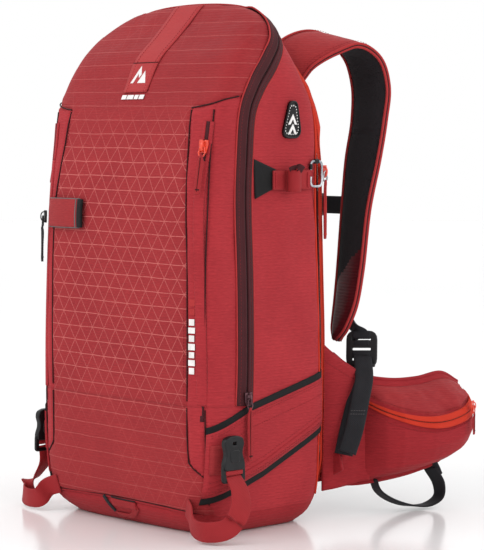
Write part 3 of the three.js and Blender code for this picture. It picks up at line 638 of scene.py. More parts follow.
def row_of(name, points, normals, size, material, gap):
    """A row of small pillow-shaped pieces along a path, such as stitches, of a length, width and height."""
    points, normals = np.array(points, float), np.array(normals, float)
    run = lengths_along(points)
    count = max(2, int(run[-1] / gap))
    want = (np.arange(count) + 0.5) * run[-1] / count
    middle = sample(points, run, want)
    along = unit_rows(np.gradient(middle, axis=0))
    out = unit_rows(sample(normals, run, want))
    side = np.cross(out, along)
    length, width, height = size
    shape = []
    for u, w, h in ((-0.5, 0.5, 0), (-0.3, 0.9, 1), (0.3, 0.9, 1), (0.5, 0.5, 0)):
        shape.append((u * length, -w * width / 2, 0.0))
        shape.append((u * length, 0.0, height * (0.35 + 0.65 * h)))
        shape.append((u * length, w * width / 2, 0.0))
    verts, faces = [], []
    for p, a, s, o in zip(middle, along, side, out):
        start = len(verts)
        for u, v, h in shape:
            verts.append(p + a * u + s * v + o * h)
        for k in range(3):
            b = start + 3 * k
            faces += [(b, b + 1, b + 4, b + 3), (b + 1, b + 2, b + 5, b + 4), (b + 2, b, b + 3, b + 5)]
        faces += [(start, start + 2, start + 1), (start + 9, start + 10, start + 11)]
    return mesh_object(name, np.array(verts) * MM, faces, [material])


def rounded_box(name, size, at, material, bevel=0.8, segments=3):
    """A moulded block with rounded edges, centred at a place, in millimetres."""
    work = bmesh.new()
    bmesh.ops.create_cube(work, size=1)
    bmesh.ops.scale(work, vec=Vector(size) * MM, verts=work.verts)
    rounding = {"offset": bevel * MM, "segments": segments, "profile": 0.5, "clamp_overlap": True}
    bmesh.ops.bevel(work, geom=work.edges[:], affect="EDGES", **rounding)
    bmesh.ops.translate(work, vec=Vector(at) * MM, verts=work.verts)
    mesh = bpy.data.meshes.new(name)
    work.to_mesh(mesh)
    work.free()
    return link(name, mesh, [material])


def plate(name, outline, thickness, material, holes=(), bevel=0.6):
    """A flat moulded plate in the XZ plane from an outline, with holes, its faces at plus and minus half."""
    curve = bpy.data.curves.new(name, "CURVE")
    curve.dimensions = "2D"
    curve.fill_mode = "BOTH"
    curve.extrude = (thickness / 2 - bevel) * MM
    curve.bevel_depth = bevel * MM
    curve.bevel_resolution = 2
    for ring in (outline, *holes):
        spline = curve.splines.new("POLY")
        spline.points.add(len(ring) - 1)
        for point, (u, v) in zip(spline.points, ring):
            point.co = (u * MM, v * MM, 0, 1)
        spline.use_cyclic_u = True
    source = bpy.data.objects.new(name + "_curve", curve)
    bpy.context.scene.collection.objects.link(source)
    graph = bpy.context.evaluated_depsgraph_get()
    mesh = bpy.data.meshes.new_from_object(source.evaluated_get(graph))
    bpy.data.objects.remove(source)
    mesh.transform(Matrix(((1, 0, 0, 0), (0, 0, -1, 0), (0, 1, 0, 0), (0, 0, 0, 1))))
    mesh.materials.clear()
    return link(name, mesh, [material])


def round_corners(outline, radius, steps=4):
    """The outline with its corners rounded."""
    result = []
    n = len(outline)
    for i in range(n):
        a, b, c = (np.array(outline[(i + k) % n], float) for k in (-1, 0, 1))
        length_a, length_c = np.linalg.norm(a - b), np.linalg.norm(c - b)
        reach = min(radius, length_a * 0.45, length_c * 0.45)
        p, q = b + (a - b) / length_a * reach, b + (c - b) / length_c * reach
        for k in range(steps + 1):
            t = k / steps
            result.append(tuple((1 - t) ** 2 * p + 2 * t * (1 - t) * b + t * t * q))
    return result


def box_outline(width, height, x=0.0, z=0.0):
    w, h = width / 2, height / 2
    return [(x - w, z - h), (x + w, z - h), (x + w, z + h), (x - w, z + h)]


def place(obj, at, up, out):
    """Moves a piece drawn at the origin, face on Y and top on Z, to a place in millimetres."""
    up = Vector(up).normalized()
    out = Vector(out)
    out = (out - up * out.dot(up)).normalized()
    across = out.cross(up)
    turn = Matrix((across, out, up)).transposed().to_4x4()
    turn.translation = Vector(at) * MM
    obj.data.transform(turn)
    obj.data.update()
    return obj


def mirrored(obj, name):
    """A mirror image of a finished piece on the other side of the pack."""
    if obj.modifiers:
        finish_mesh(obj)
    copy = bpy.data.objects.new(name, obj.data.copy())
    bpy.context.scene.collection.objects.link(copy)
    copy.data.transform(Matrix.Scale(-1, 4, (1, 0, 0)))
    copy.data.flip_normals()
    return copy


def wear(obj, body, slot, *nodes):
    """The piece rides on a body and stands for CAD nodes; the slot is not used."""
    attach(obj, body)
    if nodes:
        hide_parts(*nodes)
    return obj


def wear_pair(right, left_name, body, slot, *nodes):
    """A finished piece and its mirror image. In the name of a body or node, {} stands for the side."""
    left = mirrored(right, left_name)
    for piece, side in ((right, "right"), (left, "left")):
        wear(piece, body.format(side), slot, *[node.format(side) for node in nodes])
    return right, left


# ---------- the bag ----------
# Height and half width of the seams on the front, and half width and height of the cap's seam.
PANEL_SEAM = [(22, 112), (75, 112), (100, 110.5), (200, 111.4), (285, 110.5), (345, 107)]
PANEL_SEAM += [(400, 101.5), (438, 98.5)]
CORNER_SEAM = [(20, 129), (61, 130.8), (142, 131), (294, 129.2), (365, 128.6), (436, 127.4)]
CAP_SEAM = [(98.5, 438), (113, 440), (127, 443), (138, 449)]
# Height and half width of the arched back panel.
BACK_HALF = [(30, 114), (60, 125), (125, 127), (200, 127), (320, 123), (385, 121), (430, 113)]
BACK_HALF += [(462, 97), (490, 72), (507, 40), (512, 0)]


def between(table, value):
    """The second number of a table's rows, read between them at a value of the first."""
    return np.interp(value, [a for a, _ in table], [b for _, b in table])


def groove(distance, width, depth, puff=0.7, reach=9):
    """A stitched groove with the cloth puffed up beside it."""
    valley = -depth * np.exp(-((distance / width) ** 2))
    ridge = puff * np.exp(-(((np.abs(distance) - reach * 0.6) / (reach * 0.4)) ** 2))
    return valley + ridge


def to_polyline(u, v, line):
    """Distance from points u, v to a line in the same plane."""
    best = np.full(u.shape, 1e9)
    for (a, b), (c, d) in zip(line[:-1], line[1:]):
        dx, dy = c - a, d - b
        t = np.clip(((u - a) * dx + (v - b) * dy) / (dx * dx + dy * dy), 0, 1)
        best = np.minimum(best, np.hypot(u - a - t * dx, v - b - t * dy))
    return best


def cloudy(points, scale, seed, stretch=(1, 1, 1)):
    s = Vector(stretch) * scale
    shift = Vector((seed * 17.3, seed * 5.1, seed * 3.7))
    return np.array([noise.noise(Vector((p[0] * s.x, p[1] * s.y, p[2] * s.z)) + shift) for p in points])


def bag_relief(points):
    """How far the cloth stands off the plain skin, in millimetres."""
    x, y, z = np.abs(points[:, 0]), points[:, 1], points[:, 2]
    lift = 1.1 * cloudy(points, 0.014, 1) + 0.45 * cloudy(points, 0.035, 2)
    on_front = (x < 132) & (y < 20) & ((y < -44) | (z > 400))
    seam_x = between(PANEL_SEAM, z)
    on_panel = on_front & (z > 72) & (z < 438)
    lift += np.where(on_panel, groove(x - seam_x, 1.5, 1.7, 0.5, 8), 0)
    corner_x = between(CORNER_SEAM, z)
    lift += np.where((z < 440) & (y < -60), groove(x - corner_x, 1.4, 1.6, 0.4, 7), 0)
    lift += np.where((z > 425) & (y < -20), groove(to_polyline(x, z, CAP_SEAM), 1.5, 1.5, 0.6, 9), 0)
    diagonal = to_polyline(x, z, [(112, 76), (131, 61)])
    lift += np.where((y < -40) & (z < 90), groove(diagonal, 1.5, 1.5, 0.3, 6), 0)
    bottom_seam = 26 - 3 * (x / 110) ** 2
    lift += np.where((y < -60) & (x < 128), groove(z - bottom_seam, 1.7, 2.0, 0.8, 10), 0)
    folds = cloudy(points, 0.05, 3, (1, 1, 0.25))
    lift += np.where(y > -40, 0.8 * folds * np.clip((z - 60) / 80, 0.2, 1), 0.0)
    side = (x > 120) & (y > -32)
    sag = cloudy(points, 0.022, 5, (1, 0.5, 1.6)) * np.clip((y + 40) / 30, 0, 1)
    lift += np.where(side, 1.5 * sag, 0)
    pulled = np.exp(-(((z - 364) / 26) ** 2)) * np.clip((y + 20) / 60, 0, 1)
    lift += np.where(side & (y < 80), -1.6 * pulled, 0)
    shelf = (z > 30) & (z < 150) & (y < 85) & (x > 125)
    lift += np.where(shelf, 0.5 * cloudy(points, 0.08, 7, (1, 0.2, 1.4)), 0)
    cap = (z > 440) & (y < zip_y(470))
    lift += np.where(cap, 0.9 * cloudy(points, 0.03, 9, (0.6, 1.4, 1.4)), 0)
    return lift


TOP_RING = 549.6
ARC_COLUMNS = {"front": 150, "rear": 110}


def skin_rows():
    fine = [0, 3, 7, 12, 17, 22, 24.5, 26.5, 29, 32]
    rows = fine + list(np.arange(36, LID_FOLD - 1, 3.4)) + [LID_FOLD]
    rows += list(np.arange(LID_FOLD + 3, 440, 3.4)) + list(np.arange(441, 520, 2.8))
    return rows + list(np.arange(520, 541, 2.0)) + list(np.arange(541, 548, 1.1)) + [548.0, 548.9, TOP_RING]


def bag_grid(lid):
    """Points and faces of one part of the skin: the lid, or the body round and below it."""
    rows = [z for z in skin_rows() if (z >= LID_FOLD if lid else z <= LID_FOLD)]
    blocks = [[ring_arc(z, -zip_angle(z), zip_angle(z), ARC_COLUMNS["front"]) for z in rows]]
    if not lid:
        angles = [(z, zip_angle(z)) for z in skin_rows()]
        rear = [(z, a) for z, a in angles if a < math.pi - 0.001]
        blocks.append([ring_arc(z, a, 2 * math.pi - a, ARC_COLUMNS["rear"]) for z, a in rear])
    return blocks


def face_outwards(obj):
    """Welds an open skin's seams and turns its faces away from the middle of the bag."""
    work = bmesh.new()
    work.from_mesh(obj.data)
    bmesh.ops.remove_doubles(work, verts=work.verts, dist=0.02)
    bmesh.ops.recalc_face_normals(work, faces=work.faces)
    inward = 0
    for v in work.verts:
        middle = Vector((0, 0, min(v.co.z, 300)))
        inward += v.co.length > 1 and v.normal.dot(v.co - middle) < 0
    if inward > len(work.verts) / 2:
        bmesh.ops.reverse_faces(work, faces=work.faces)
    work.to_mesh(obj.data)
    work.free()


def skin_object(name, lid, materials):
    """The lid's or the body's cloth: the plain skin with its relief, closed at the crest or the foot."""
    verts, faces = [], []
    for rows in bag_grid(lid):
        start, columns = len(verts), len(rows[0])
        verts += [p for row in rows for p in row]
        faces += [tuple(start + i for i in face) for face in grid_faces(len(rows), columns)]
    level, middle = (TOP_RING, (0.0, 25.0, 550.0)) if lid else (0, (0.0, 0.0, 0.0))
    rim = [i for i, p in enumerate(verts) if p[2] == level]
    ring = sorted(rim, key=lambda i: math.atan2(verts[i][1] - middle[1], verts[i][0]))
    centre = len(verts)
    verts.append(np.array(middle))
    for a, b in zip(ring, ring[1:] + ring[:1]):
        faces.append((centre, a, b))
    obj = mesh_object(name, np.array(verts), faces, materials)
    face_outwards(obj)
    mesh = obj.data
    points = np.array([v.co for v in mesh.vertices])
    normals = np.array([v.normal for v in mesh.vertices])
    lift = bag_relief(points)
    edge = np.abs(points[:, 1] - np.array([zip_y(z) for z in points[:, 2]]))
    lift *= np.where(points[:, 2] < LID_FOLD, 1, np.clip(edge / 16, 0.15, 1))
    keep_flat = np.clip(points[:, 2] / 20, 0, 1)
    points = (points + normals * (lift * keep_flat)[:, None]) * MM
    mesh.vertices.foreach_set("co", points.ravel())
    mesh.update()
    return obj


def bag_zone(x, y, z):
    """Which cloth a point of the skin is cut from: 0 printed front, 1 ribbed side, 2 plain boot, 3 cap."""
    if z < 20 or (z < 26 - 3 * (x / 110) ** 2 and y < -40):
        return 2
    seam = float(between(PANEL_SEAM, z))
    cap_edge = float(between(CAP_SEAM, abs(x)))
    if z > cap_edge and y < zip_y(z):
        return 3 if z > 432 else 0
    if y < -40 and abs(x) < seam and z < 445:
        return 0
    if y < -40 and z < 76 and abs(x) < 131 and z < 76 - (abs(x) - 112) * 15 / 19:
        return 0
    return 1


def paint_zones(obj):
    mesh = obj.data
    zones = [bag_zone(*(p.center / MM)) for p in mesh.polygons]
    mesh.polygons.foreach_set("material_index", zones)


def cut_rear_opening(obj):
    """Removes the skin behind the back panel."""
    work = bmesh.new()
    work.from_mesh(obj.data)
    doomed = []
    for face in work.faces:
        c = face.calc_center_median() / MM
        half = float(between(BACK_HALF, c.z))
        if c.y > 70 and 42 < c.z < 495 and abs(c.x) < half - 13:
            doomed.append(face)
    bmesh.ops.delete(work, geom=doomed, context="FACES")
    work.to_mesh(obj.data)
    work.free()


CLOTH_WALL = 3.2 * MM


def build_bag():
    cloths = [FRONT_CLOTH, SIDE_CLOTH, BELT_CLOTH, CAP_CLOTH]
    lid = skin_object("lid_skin", True, cloths)
    paint_zones(lid)
    thicken(lid, CLOTH_WALL, LINING)
    wear(lid, "front_lid", "pattern", "front_lid")
    body = skin_object("shell_skin", False, cloths)
    paint_zones(body)
    cut_rear_opening(body)
    thicken(body, CLOTH_WALL, LINING)
    wear(body, "pack_body", "shell", "main_shell")


# ---------- zips ----------
def side_frame(y, z):
    """The point and outward normal of the right side wall at a given y and height, in millimetres."""
    step = 0.5
    p = np.array([side_x(y, z), y, z])
    dy = np.array([side_x(y + step, z) - side_x(y - step, z), 2 * step, 0])
    dz = np.array([side_x(y, z + step) - side_x(y, z - step), 0, 2 * step])
    n = np.cross(dy, dz)
    n /= np.linalg.norm(n)
    return p, n if n[0] >= 0 else -n


def front_frame(x, z):
    """The point and outward normal of the front wall at a given x and height, in millimetres."""
    step = 0.5
    p = np.array([x, front_y(x, z), z])
    dx = np.array([2 * step, front_y(x + step, z) - front_y(x - step, z), 0])
    dz = np.array([0, front_y(x, z + step) - front_y(x, z - step), 2 * step])
    n = np.cross(dx, dz)
    n /= np.linalg.norm(n)
    return p, n if n[1] < 0 else -n


def strip_path(points, normals):
    """A path for a strip: its points, its normals and the directions across it."""
    along = unit_rows(np.gradient(points, axis=0))
    return points, normals, unit_rows(np.cross(along, normals))


def main_zip_path():
    """The main zip's path, from its right end over the top to its left end."""
    points, normals = [], []
    heights = [134, 140, 160, 180, 200, 225, 250, 275, 300, 325, 350, 370, 390, 410, 425, 436]
    heights += [443, 450, 456, 462, 468, 475, 482, 490, 498, 505, 512, 518, 524, 529, 534, 537]
    for z in heights:
        p, n = side_frame(zip_y(z), z)
        points.append(p)
        normals.append(n)
    edge = points[-1][0]
    for share in (0.93, 0.85, 0.76, 0.66, 0.55, 0.44, 0.33, 0.22, 0.11, 0):
        x = edge * share
        low, high = 530, 549.8
        for _ in range(40):
            z = (low + high) / 2
            if side_x(zip_y(z), z) > x:
                low = z
            else:
                high = z
        n = np.array([x / 260, 0.12 + 0.35 * (x / 80) ** 2, 1])
        points.append(np.array([x, zip_y(low), low]))
        normals.append(n / np.linalg.norm(n))
    for p, n in list(zip(points, normals))[-2::-1]:
        points.append(p * [-1, 1, 1])
        normals.append(n * [-1, 1, 1])
    both = curve_through(np.concatenate([points, normals], axis=1), 300)
    return strip_path(both[:, :3], unit_rows(both[:, 3:]))


def tape_strip(name, path, profile, material, sizes=None):
    """A strip along a path. Its profile is a closed outline of offsets across it and heights above it."""
    points, normals, across = path
    sizes = np.ones(len(points)) if sizes is None else sizes
    rows = zip(points, normals, across, sizes)
    rings = [[p + (a * u + n * v) * k for u, v in profile] for p, n, a, k in rows]
    return ring_mesh(name, rings, material)


def lane(path, offset, lift):
    points, normals, across = path
    return points + across * offset + normals * lift


def zip_side(prefix, s, path, body, node, tape_material, tooth_material, reach, lift, piping):
    """The half of a zip on side s: its tape with a rolled edge, the teeth, stitches and piping."""
    slot_name = "maroon"
    profile = [(s * 1.1, lift + 0.2), (s * 1.2, lift + 1.7), (s * 2.6, lift + 2.2), (s * 4.2, lift + 1.3)]
    profile += [(s * 5, lift + 1.0), (s * (reach - 3), lift + 1.0), (s * (reach - 1), lift + 0.7)]
    profile += [(s * reach, lift - 0.2), (s * reach, lift - 1.2), (s * 1.2, lift - 0.6)]
    strip = tape_strip(prefix + "_tape", path, profile, tape_material)
    wear(strip, body, slot_name, node)
    normals = path[1]
    inner, outer = lane(path, s * 0.3, lift + 0.2), lane(path, s * (reach - 4), lift + 0.95)
    wear(row_of(prefix + "_teeth", inner, normals, (1.3, 1.9, 1.3), tooth_material, 2.2), body, slot_name)
    wear(row_of(prefix + "_stitch", outer, normals, (2.2, 0.55, 0.4), STITCH, 3.4), body, slot_name)
    cord = lane(path, s * (reach + 0.7), lift - 0.4)
    wear(tube(prefix + "_piping", cord, 0.9, piping, 8), body, "shell")


def slider(name, at, up, out, body, slot_name, node, material, scale=1.0):
    """A die-cast slider: a waisted body with a bridge over it."""
    outline = [(-4.4, 6.2), (-4.6, 2), (-3.3, -6.2), (3.3, -6.2), (4.6, 2), (4.4, 6.2)]
    outline += [(1.4, 6.2), (0, 3.6), (-1.4, 6.2)]
    scaled = [(u * scale, v * scale) for u, v in outline]
    base = plate(name, scaled, 2.4 * scale, material, bevel=0.5 * scale)
    base.data.transform(Matrix.Translation((0, 1.2 * scale * MM, 0)))
    arch = [(2, 5.2), (4.6, 4.6), (5.9, 2.4), (6.2, 0), (5.9, -2.4), (4.6, -4.6), (2, -5.2)]
    stops = [(0, y * scale, z * scale, 1, 0, 0, 2.6 * scale) for y, z in arch]
    bridge = strap(name + "_bridge", stops, 1.1 * scale, material, 20)
    piece = join(name + "_slider_look", [base, bridge])
    place(piece, at, up, out)
    return wear(piece, body, slot_name, node)


def ring_and_tab(name, tab, material, scale, width):
    """A wire ring and a folded fabric tab with a bar tack, drawn hanging from the origin."""
    wire = [(math.sin(t) * 2.9, 0, -5.2 - 5.6 * math.cos(t)) for t in np.linspace(0, 2 * math.pi, 33)[:-1]]
    wire = [(x * (1 + 0.25 * (z < -6)), y, z) for x, y, z in wire]
    wire += wire[:2]
    ring = tube(name + "_ring", np.array(wire) * scale, 0.85 * scale, material[0], 8)
    end = -11.5 - tab
    stops = [
        (0, 0.5, -8.6, 1, 0, 0, 3.2),
        (0, 0.6, -12, 1, 0, 0, 4.6),
        (0, 0.3, -16, 1, 0.06, 0, width),
        (0.2, 0.1, -11.5 - tab * 0.5, 1, -0.08, 0, width),
        (0.1, 0.2, end + 3, 1, 0.05, 0, width * 0.98),
        (0, 0, end, 1, 0, 0, width * 0.8),
    ]
    stops = [tuple(np.array(s[:3]) * scale) + s[3:6] + (s[6] * scale,) for s in stops]
    cloth = strap(name + "_tab", stops, 1.9 * scale, material[1], 30, wobble=0.5, seed=3)
    # The cord along the tab's fold and the bar tack take the third colour; where that is the seam-shadow
    # colour, the cord is painted shade in the crease.
    crease = [np.array(s[:3]) + [0.3, 1.15 * scale, 0] for s in stops[1:-1]]
    fold = tube(name + "_fold", crease, 0.32 * scale, material[2], 6)
    tack_size = (width * 0.7 * scale, 2.6 * scale, 1.6 * scale)
    tack = rounded_box(name + "_tack", tack_size, (0, 0.2, (end + 5) * scale), material[2], 0.4)
    return join(name + "_look", [ring, cloth, fold, tack])


def pull(name, pivot, out, body, slot_name, node, materials, tab, scale=1.0, hang=(0, 0, 1), width=7.0):
    piece = ring_and_tab(name, tab, materials, scale, width)
    place(piece, pivot, hang, out)
    return wear(piece, body, slot_name, node)


# How far a pull's ring hangs from its tape.
PIVOT_HEIGHT = 3.9


def outward_by(at, out, length):
    return np.array(at, float) + np.array(out, float) / np.linalg.norm(out) * length


def build_main_zip():
    path = main_zip_path()
    cloths = (MAROON, MAROON_TEETH)
    zip_side("main_zip_lid", -1, path, "front_lid", "main_zip_tape_lid", *cloths, 12.5, 1.0, RED_EDGE)
    zip_side("main_zip_body", 1, path, "pack_body", "main_zip_tape_body", *cloths, 10, 0.8, RED_EDGE)
    at, up, out = (145.4, -35.6, 141), (-4, 5.5, 259), (1, 0, 0.014)
    slider("main_zip", at, up, out, "main_zip_slider", "zipmetal", "main_zip_slider", GUNMETAL)
    pivot = outward_by(at, out, PIVOT_HEIGHT)
    look = (GUNMETAL, RED_WEBBING, SEAM_SHADOW)
    pull("main_pull", pivot, out, "main_zip_pull", "shell", "main_zip_pull", look, 52)


FRONT_TAPE_LIFT = 3.8


def corner_path(sign, low=120, high=424, count=80):
    points, normals = [], []
    for z in np.linspace(low, high, count):
        p, n = front_frame(0.9 * float(smooth_row(STATIONS, z)[0]), z)
        points.append(p * [sign, 1, 1])
        normals.append(n * [sign, 1, 1])
    return strip_path(np.array(points), np.array(normals))


def build_front_zips():
    """The tool pocket's zips run down the front corners under a folded rain flap."""
    for sign, side in ((1, "right"), (-1, "left")):
        path = corner_path(sign)
        profile = [(-2.4, 0.2), (-1.3, 0.8), (1.3, 0.8), (2.4, 0.2), (2.4, -0.4), (-2.4, -0.4)]
        coil = tape_strip(f"front_zip_{side}_coil", path, profile, MAROON)
        wear(coil, "front_lid", "shell", f"front_zip_tape_{side}")
        flap = [(-6.4, -0.9), (-4.4, 0.9), (4.4, 0.9), (6.4, -0.9)]
        lip = [(2.2, -0.4), (2.2, 0.8), (3.0, 1.2), (5.4, 0.7), (6.4, -0.9)]
        cover = tape_strip(f"front_zip_{side}_cover", corner_path(sign, 136, 384), flap, SIDE_CLOTH)
        wear(cover, "front_lid", "shell")
        for k, turn in enumerate((1, -1)):
            turned = [(turn * u, v) for u, v in lip]
            above = corner_path(sign, 384, 424, 20)
            wear(tape_strip(f"front_zip_{side}_lip_{k}", above, turned, SIDE_CLOTH), "front_lid", "shell")
    for side, sign, z, lean, colours, slots in (
        ("right", 1, 398, 0.155, (PAINT, RED_WEBBING, SEAM_SHADOW), ("zippaint", "shell")),
        ("left", -1, 322, 0.02, (PLASTIC, BLACK_WEBBING, BLACK_CLOTH), ("plastic", "webbing")),
    ):
        p, n = front_frame(0.9 * float(smooth_row(STATIONS, z)[0]), z)
        at = (p + n * FRONT_TAPE_LIFT) * [sign, 1, 1]
        out = n * [sign, 1, 1]
        up = (0, lean, 1)
        name = f"front_zip_{side}"
        slider(name, at, up, out, name + "_slider", slots[0], name + "_slider", colours[0])
        pivot = outward_by(at, out, PIVOT_HEIGHT)
        pull(name + "_tab", pivot, out, name + "_pull", slots[1], name + "_pull", colours, 38, hang=up)


# ---------- seams, patches and trims on the bag ----------
def skin_line(stops, count, lift):
    """A run of points a little above the skin, through stops of ("side", y, z) or ("front", x, z)."""
    points, normals = [], []
    for kind, a, z in stops:
        if kind == "side":
            p, n = side_frame(a, z)
        else:
            p, n = front_frame(a, z)
        points.append(p)
        normals.append(n)
    both = curve_through(np.concatenate([points, normals], axis=1), count)
    n = both[:, 3:] / np.linalg.norm(both[:, 3:], axis=1)[:, None]
    return both[:, :3] + n * lift, n


def seam_cord(name, stops, body, radius, material, lift, count=90):
    points, _ = skin_line(stops, count, lift)
    wear_pair(tube(name + "_right", points, radius, material, 6), name + "_left", body, "shell")


def stitch_line(name, stops, body, lift=0.25, gap=3.2):
    points, normals = skin_line(stops, 120, lift)
    right = row_of(name + "_right", points, normals, (2.1, 0.5, 0.4), STITCH, gap)
    wear_pair(right, name + "_left", body, "shell")


def build_seams():
    """Cords of painted shade in the seams round the printed panel, down the corners and under the cap, with a
    row of stitches.
    """

    def down(seam, *heights):
        return [("front", float(between(seam, z)), z) for z in heights]

    front = down(PANEL_SEAM, 140, 170, 200, 240, 285, 320, 345, 375, 400, 420, 436)
    seam_cord("panel_seam", front, "front_lid", 0.75, SEAM_SHADOW, -0.3)
    corner = down(CORNER_SEAM, 136, 170, 210, 250, 294, 330, 365, 400, 436)
    seam_cord("corner_seam", corner, "front_lid", 0.8, SEAM_SHADOW, 0.1)
    low_corner = down(CORNER_SEAM, 34, 50, 75, 100, 120, 132)
    seam_cord("corner_seam_low", low_corner, "pack_body", 0.8, SEAM_SHADOW, 0.1)
    cap = [("front", x, z) for x, z in CAP_SEAM[:-1]] + [("front", 133.5, 446), ("side", -40, 449.5)]
    seam_cord("cap_seam", cap, "front_lid", 0.75, SEAM_SHADOW, 0.1, count=40)
    offset = [(kind, x - 4.2, z) for kind, x, z in front]
    stitch_line("panel_stitch", offset, "front_lid")
    low_front = down(PANEL_SEAM, 76, 90, 105, 120, 133)
    seam_cord("panel_seam_low", low_front, "pack_body", 0.75, SEAM_SHADOW, -0.3)
    diagonal = [("front", 112, 77), ("front", 117, 71.5), ("front", 123, 67), ("front", 128, 63)]
    seam_cord("panel_diagonal", diagonal, "pack_body", 0.8, SEAM_SHADOW, -0.2, count=20)


def surface_patch(name, rows, low, high, material):
    """A thin patch that follows rows of skin points and normals, between two heights above them."""
    m, n = len(rows), len(rows[0])
    over = [p + k * high for row in rows for p, k in row]
    under = [p + k * low for row in rows for p, k in row]
    verts = np.array(over + under) * MM
    return outward(mesh_object(name, verts, shell_faces(m, n), [material]))


def side_rows(columns, rows, y_at, z_at):
    """Rows of points and normals on a side wall, from functions of two shares that run from 0 to 1."""
    us, vs = np.linspace(0, 1, columns), np.linspace(0, 1, rows)
    return [[side_frame(y_at(u, v), z_at(u, v)) for u in us] for v in vs]


def crest_rows(low, high, count, half_low, half_high):
    """Rows of points and normals up the front, as wide as a half width that changes evenly."""
    rows = []
    for k in range(count):
        z = low + (high - low) * k / (count - 1)
        half = half_low + (half_high - half_low) * k / (count - 1)
        rows.append([front_frame(half * u, z) for u in np.linspace(-1, 1, 9)])
    return rows


def build_crest():
    """The smooth band over the crest with the glyph patch at its foot."""
    band = surface_patch("crest_band", crest_rows(486, 548.6, 40, 20, 22), 0.3, 1.7, PLAIN_CLOTH)
    wear(band, "front_lid", "shell")
    patch = surface_patch("crest_patch", crest_rows(455, 486.4, 16, 18.5, 20), 0.5, 1.9, PLAIN_CLOTH)
    wear(patch, "front_lid", "shell")
    for sign, side in ((1, "right"), (-1, "left")):
        rows = crest_rows(455, 548, 60, 18.5, 22)
        flip = np.array([sign, 1, 1])
        edge = [(row[8][0] + row[8][1] * 1.2) * flip for row in rows]
        wear(tube(f"crest_edge_{side}", edge, 0.55, STRAP_CLOTH, 6), "front_lid", "shell")
        normals = [row[8][1] * flip for row in rows]
        inset = [(row[7][0] + row[7][1] * 1.8) * flip for row in rows]
        stitches = row_of(f"crest_stitch_{side}", inset, normals, (2.1, 0.5, 0.35), STITCH, 3.2)
        wear(stitches, "front_lid", "shell")
    # A cord of painted shade along the seam between the band and the patch.
    cross = [row[0] + row[1] * 1.9 for row in crest_rows(486, 487, 2, 20, 20)[0]]
    wear(tube("crest_cross_seam", cross, 0.5, SEAM_SHADOW, 6), "front_lid", "shell")
    build_glyph()


def printed(name, outlines, to_surface, lift, body, material=WHITE_PRINT):
    """Flat printed shapes on the skin, as thin plates."""
    parts = []
    for k, outline in enumerate(outlines):
        dense = []
        for (u0, v0), (u1, v1) in zip(outline, outline[1:] + outline[:1]):
            steps = max(1, int(math.hypot(u1 - u0, v1 - v0) / 2))
            dense += [(u0 + (u1 - u0) * i / steps, v0 + (v1 - v0) * i / steps) for i in range(steps)]
        verts = []
        for level in (lift - 0.5, lift):
            for u, v in dense:
                p, n = to_surface(u, v)
                verts.append(p + n * level)
        n = len(dense)
        faces = [tuple(range(n, 2 * n)), tuple(range(n))[::-1]]
        faces += [(i, (i + 1) % n, n + (i + 1) % n, n + i) for i in range(n)]
        part = mesh_object(f"{name}_{k}", np.array(verts) * MM, faces, [material], smooth=False)
        parts.append(outward(part))
    return wear(join(name, parts), body, "shell")


def build_glyph():
    """A plain two-peak mountain mark on the patch, and bars on the corner strip and under the patch."""

    def front_at(x, z, squeeze=1.0):
        return lambda u, v: front_frame(x + u * squeeze, z + v)

    def bar(left, right, foot, top):
        return [(left, foot), (right, foot), (right, top), (left, top)]

    high_peak = [(-12, -8), (-3.3, 10), (1.6, 1), (-1, -2.5), (-3.4, 2), (-7.9, -8)]
    low_peak = [(0.5, -5), (5.5, 5), (12, -8), (-0.9, -8)]
    printed("patch_glyph", [high_peak, low_peak], front_at(0, 472.5), 2.3, "front_lid")
    widths = ((-18, 7), (-9.4, 10), (2.4, 6), (10.2, 7.4))
    bars = [bar(x, x + w, -2.2, 2.2) for x, w in widths]
    printed("patch_bars", bars, front_at(0, 450), 1.3, "front_lid")
    on_strip = front_at(117.5, 168, 0.9)
    marks = []
    heights = ((0, 6.5), (8.5, 6), (16.5, 6), (24.5, 6.5), (33, 6.5), (41.5, 6), (49.5, 6.5))
    for k, (foot, tall) in enumerate(heights):
        wide = 4.2 if k % 2 else 3.4
        marks.append(bar(-wide, wide, foot, foot + tall))
    printed("strip_bars", marks, on_strip, 1.0, "front_lid")
    faint = [bar(-3.6, 3.6, 60, 66.5), bar(-3.6, 3.6, 69, 76)]
    printed("strip_bars_faint", faint, on_strip, 0.8, "front_lid", RED_EDGE)


def build_side_patches():
    """The smooth black patch beside the zip where the compression webbing starts, and the badge."""

    def y_at(u, v):
        left = -20 + 4 * v
        return left + (12 - left) * u

    def z_at(u, v):
        top = 386 + (375 - 386) * u
        foot = 345 + (356 - 345) * u
        return top + (foot - top) * v

    rows = side_rows(12, 12, y_at, z_at)
    patch = surface_patch("anchor_patch_right", rows, 0.0, 1.5, BLACK_CLOTH)
    wear_pair(patch, "anchor_patch_left", "pack_body", "webbing")
    build_badge()


BADGE_Y = 32
BADGE_Z = 425


